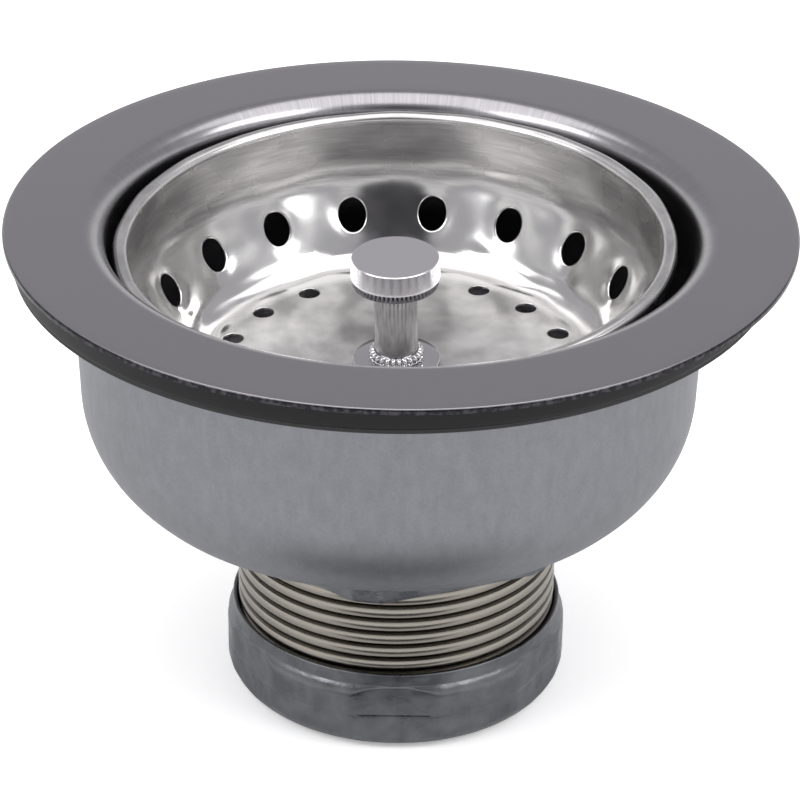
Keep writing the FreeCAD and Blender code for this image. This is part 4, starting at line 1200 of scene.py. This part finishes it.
post = leaning("turned_post", [
    (0.0, STUD_END), (STUD, STUD_END), (STUD, POST_FOOT), (POST, POST_FOOT), (POST, KNOB_LOW),
    (POST_TIP, KNOB_LOW), (POST_TIP, TIP_TOP), (0.0, TIP_TOP),
])
dress(post, "post", "basket_group", turned_chrome)
collar = knurled("knurled_collar", [
    (POST + 0.05, POST_FOOT), (COLLAR, POST_FOOT, 0.7), (COLLAR, COLLAR_TOP, 0.78),
    (POST + 0.05, COLLAR_TOP),
], (POST_FOOT + 0.1, COLLAR_TOP, 3.4), grooves=26, depth=0.45, turns=416)
dress(collar, "post_collar", "basket_group", turned_chrome)
washer = leaning("thin_post_washer", [
    (STUD_BORE, FLOOR_MIDDLE), (WASHER, FLOOR_MIDDLE), (WASHER, POST_FOOT, 0.12),
    (STUD_BORE, POST_FOOT),
])
dress(washer, "post_washer", "basket_group", turned_chrome)

# %% [markdown]
# ## Under the basket
#
# The moulded rubber stopper and what clamps it show from below and when the basket is lifted
# out. A dished washer lies against the basket's floor, whose fall it follows, and a flat one
# presses the stopper's hub from below. The hexagon nut, the nylon tip and the crosspiece keep
# their solids' own surfaces, which are plain, and only get their materials.

# %% Stopper and its washers
FALL = (FLOOR_MIDDLE - FLOOR_EDGE) / (FLOOR_RADIUS - STUD_BORE)
DISH_HIGH = FLOOR_MIDDLE - BASKET_SHEET
DISH_EDGE = 11.0
DISH_LOW = DISH_HIGH - 0.8
dish_fall = FALL * (DISH_EDGE - STUD_BORE)
dish = leaning("stopper_dish", [
    (STUD_BORE, DISH_LOW), (DISH_EDGE, DISH_LOW - dish_fall, 0.2),
    (DISH_EDGE, DISH_HIGH - dish_fall, 0.2), (STUD_BORE, DISH_HIGH),
])
dress(dish, "stopper_backing", "basket_group", zinc_plate)

HUB = 9.0
STOPPER_TOP = DISH_LOW - FALL * (HUB - STUD_BORE)
STOPPER_LOW = STOPPER_TOP - 8.3
SKIRT_TOP = STOPPER_TOP - 2.9
SKIRT_EDGE = SKIRT_TOP - 3.4
SKIRT = 2.4
STOPPER_OUT = 27.0
RUBBER_ROUND = 0.8
stopper = leaning("rubber_stopper", [
    (STUD_BORE, STOPPER_LOW), (HUB, STOPPER_LOW), (HUB, SKIRT_TOP - SKIRT, RUBBER_ROUND),
    (STOPPER_OUT, SKIRT_EDGE - SKIRT, RUBBER_ROUND), (STOPPER_OUT, SKIRT_EDGE, RUBBER_ROUND),
    (HUB, SKIRT_TOP, RUBBER_ROUND), (HUB, STOPPER_TOP, RUBBER_ROUND), (STUD_BORE, STOPPER_TOP),
], turns=200)
dress(stopper, "stopper", "basket_group", black_rubber)

PRESS_WASHER, PRESS_LOW = 8.0, STOPPER_LOW - 1.0
stopper_washer = leaning("stopper_washer_disc", [
    (STUD_BORE, PRESS_LOW), (PRESS_WASHER, PRESS_LOW, 0.2), (PRESS_WASHER, STOPPER_LOW, 0.2),
    (STUD_BORE, STOPPER_LOW),
])
dress(stopper_washer, "stopper_washer", "basket_group", zinc_plate)

for name, material in (("post_nut", zinc_plate), ("snap_tip", white_plastic),
                       ("crosspiece", nickel_brass)):
    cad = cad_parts[name]
    cad.data.materials.clear()
    cad.data.materials.append(material)
    print("%s keeps its solid's surface, in %s" % (name, material.name))
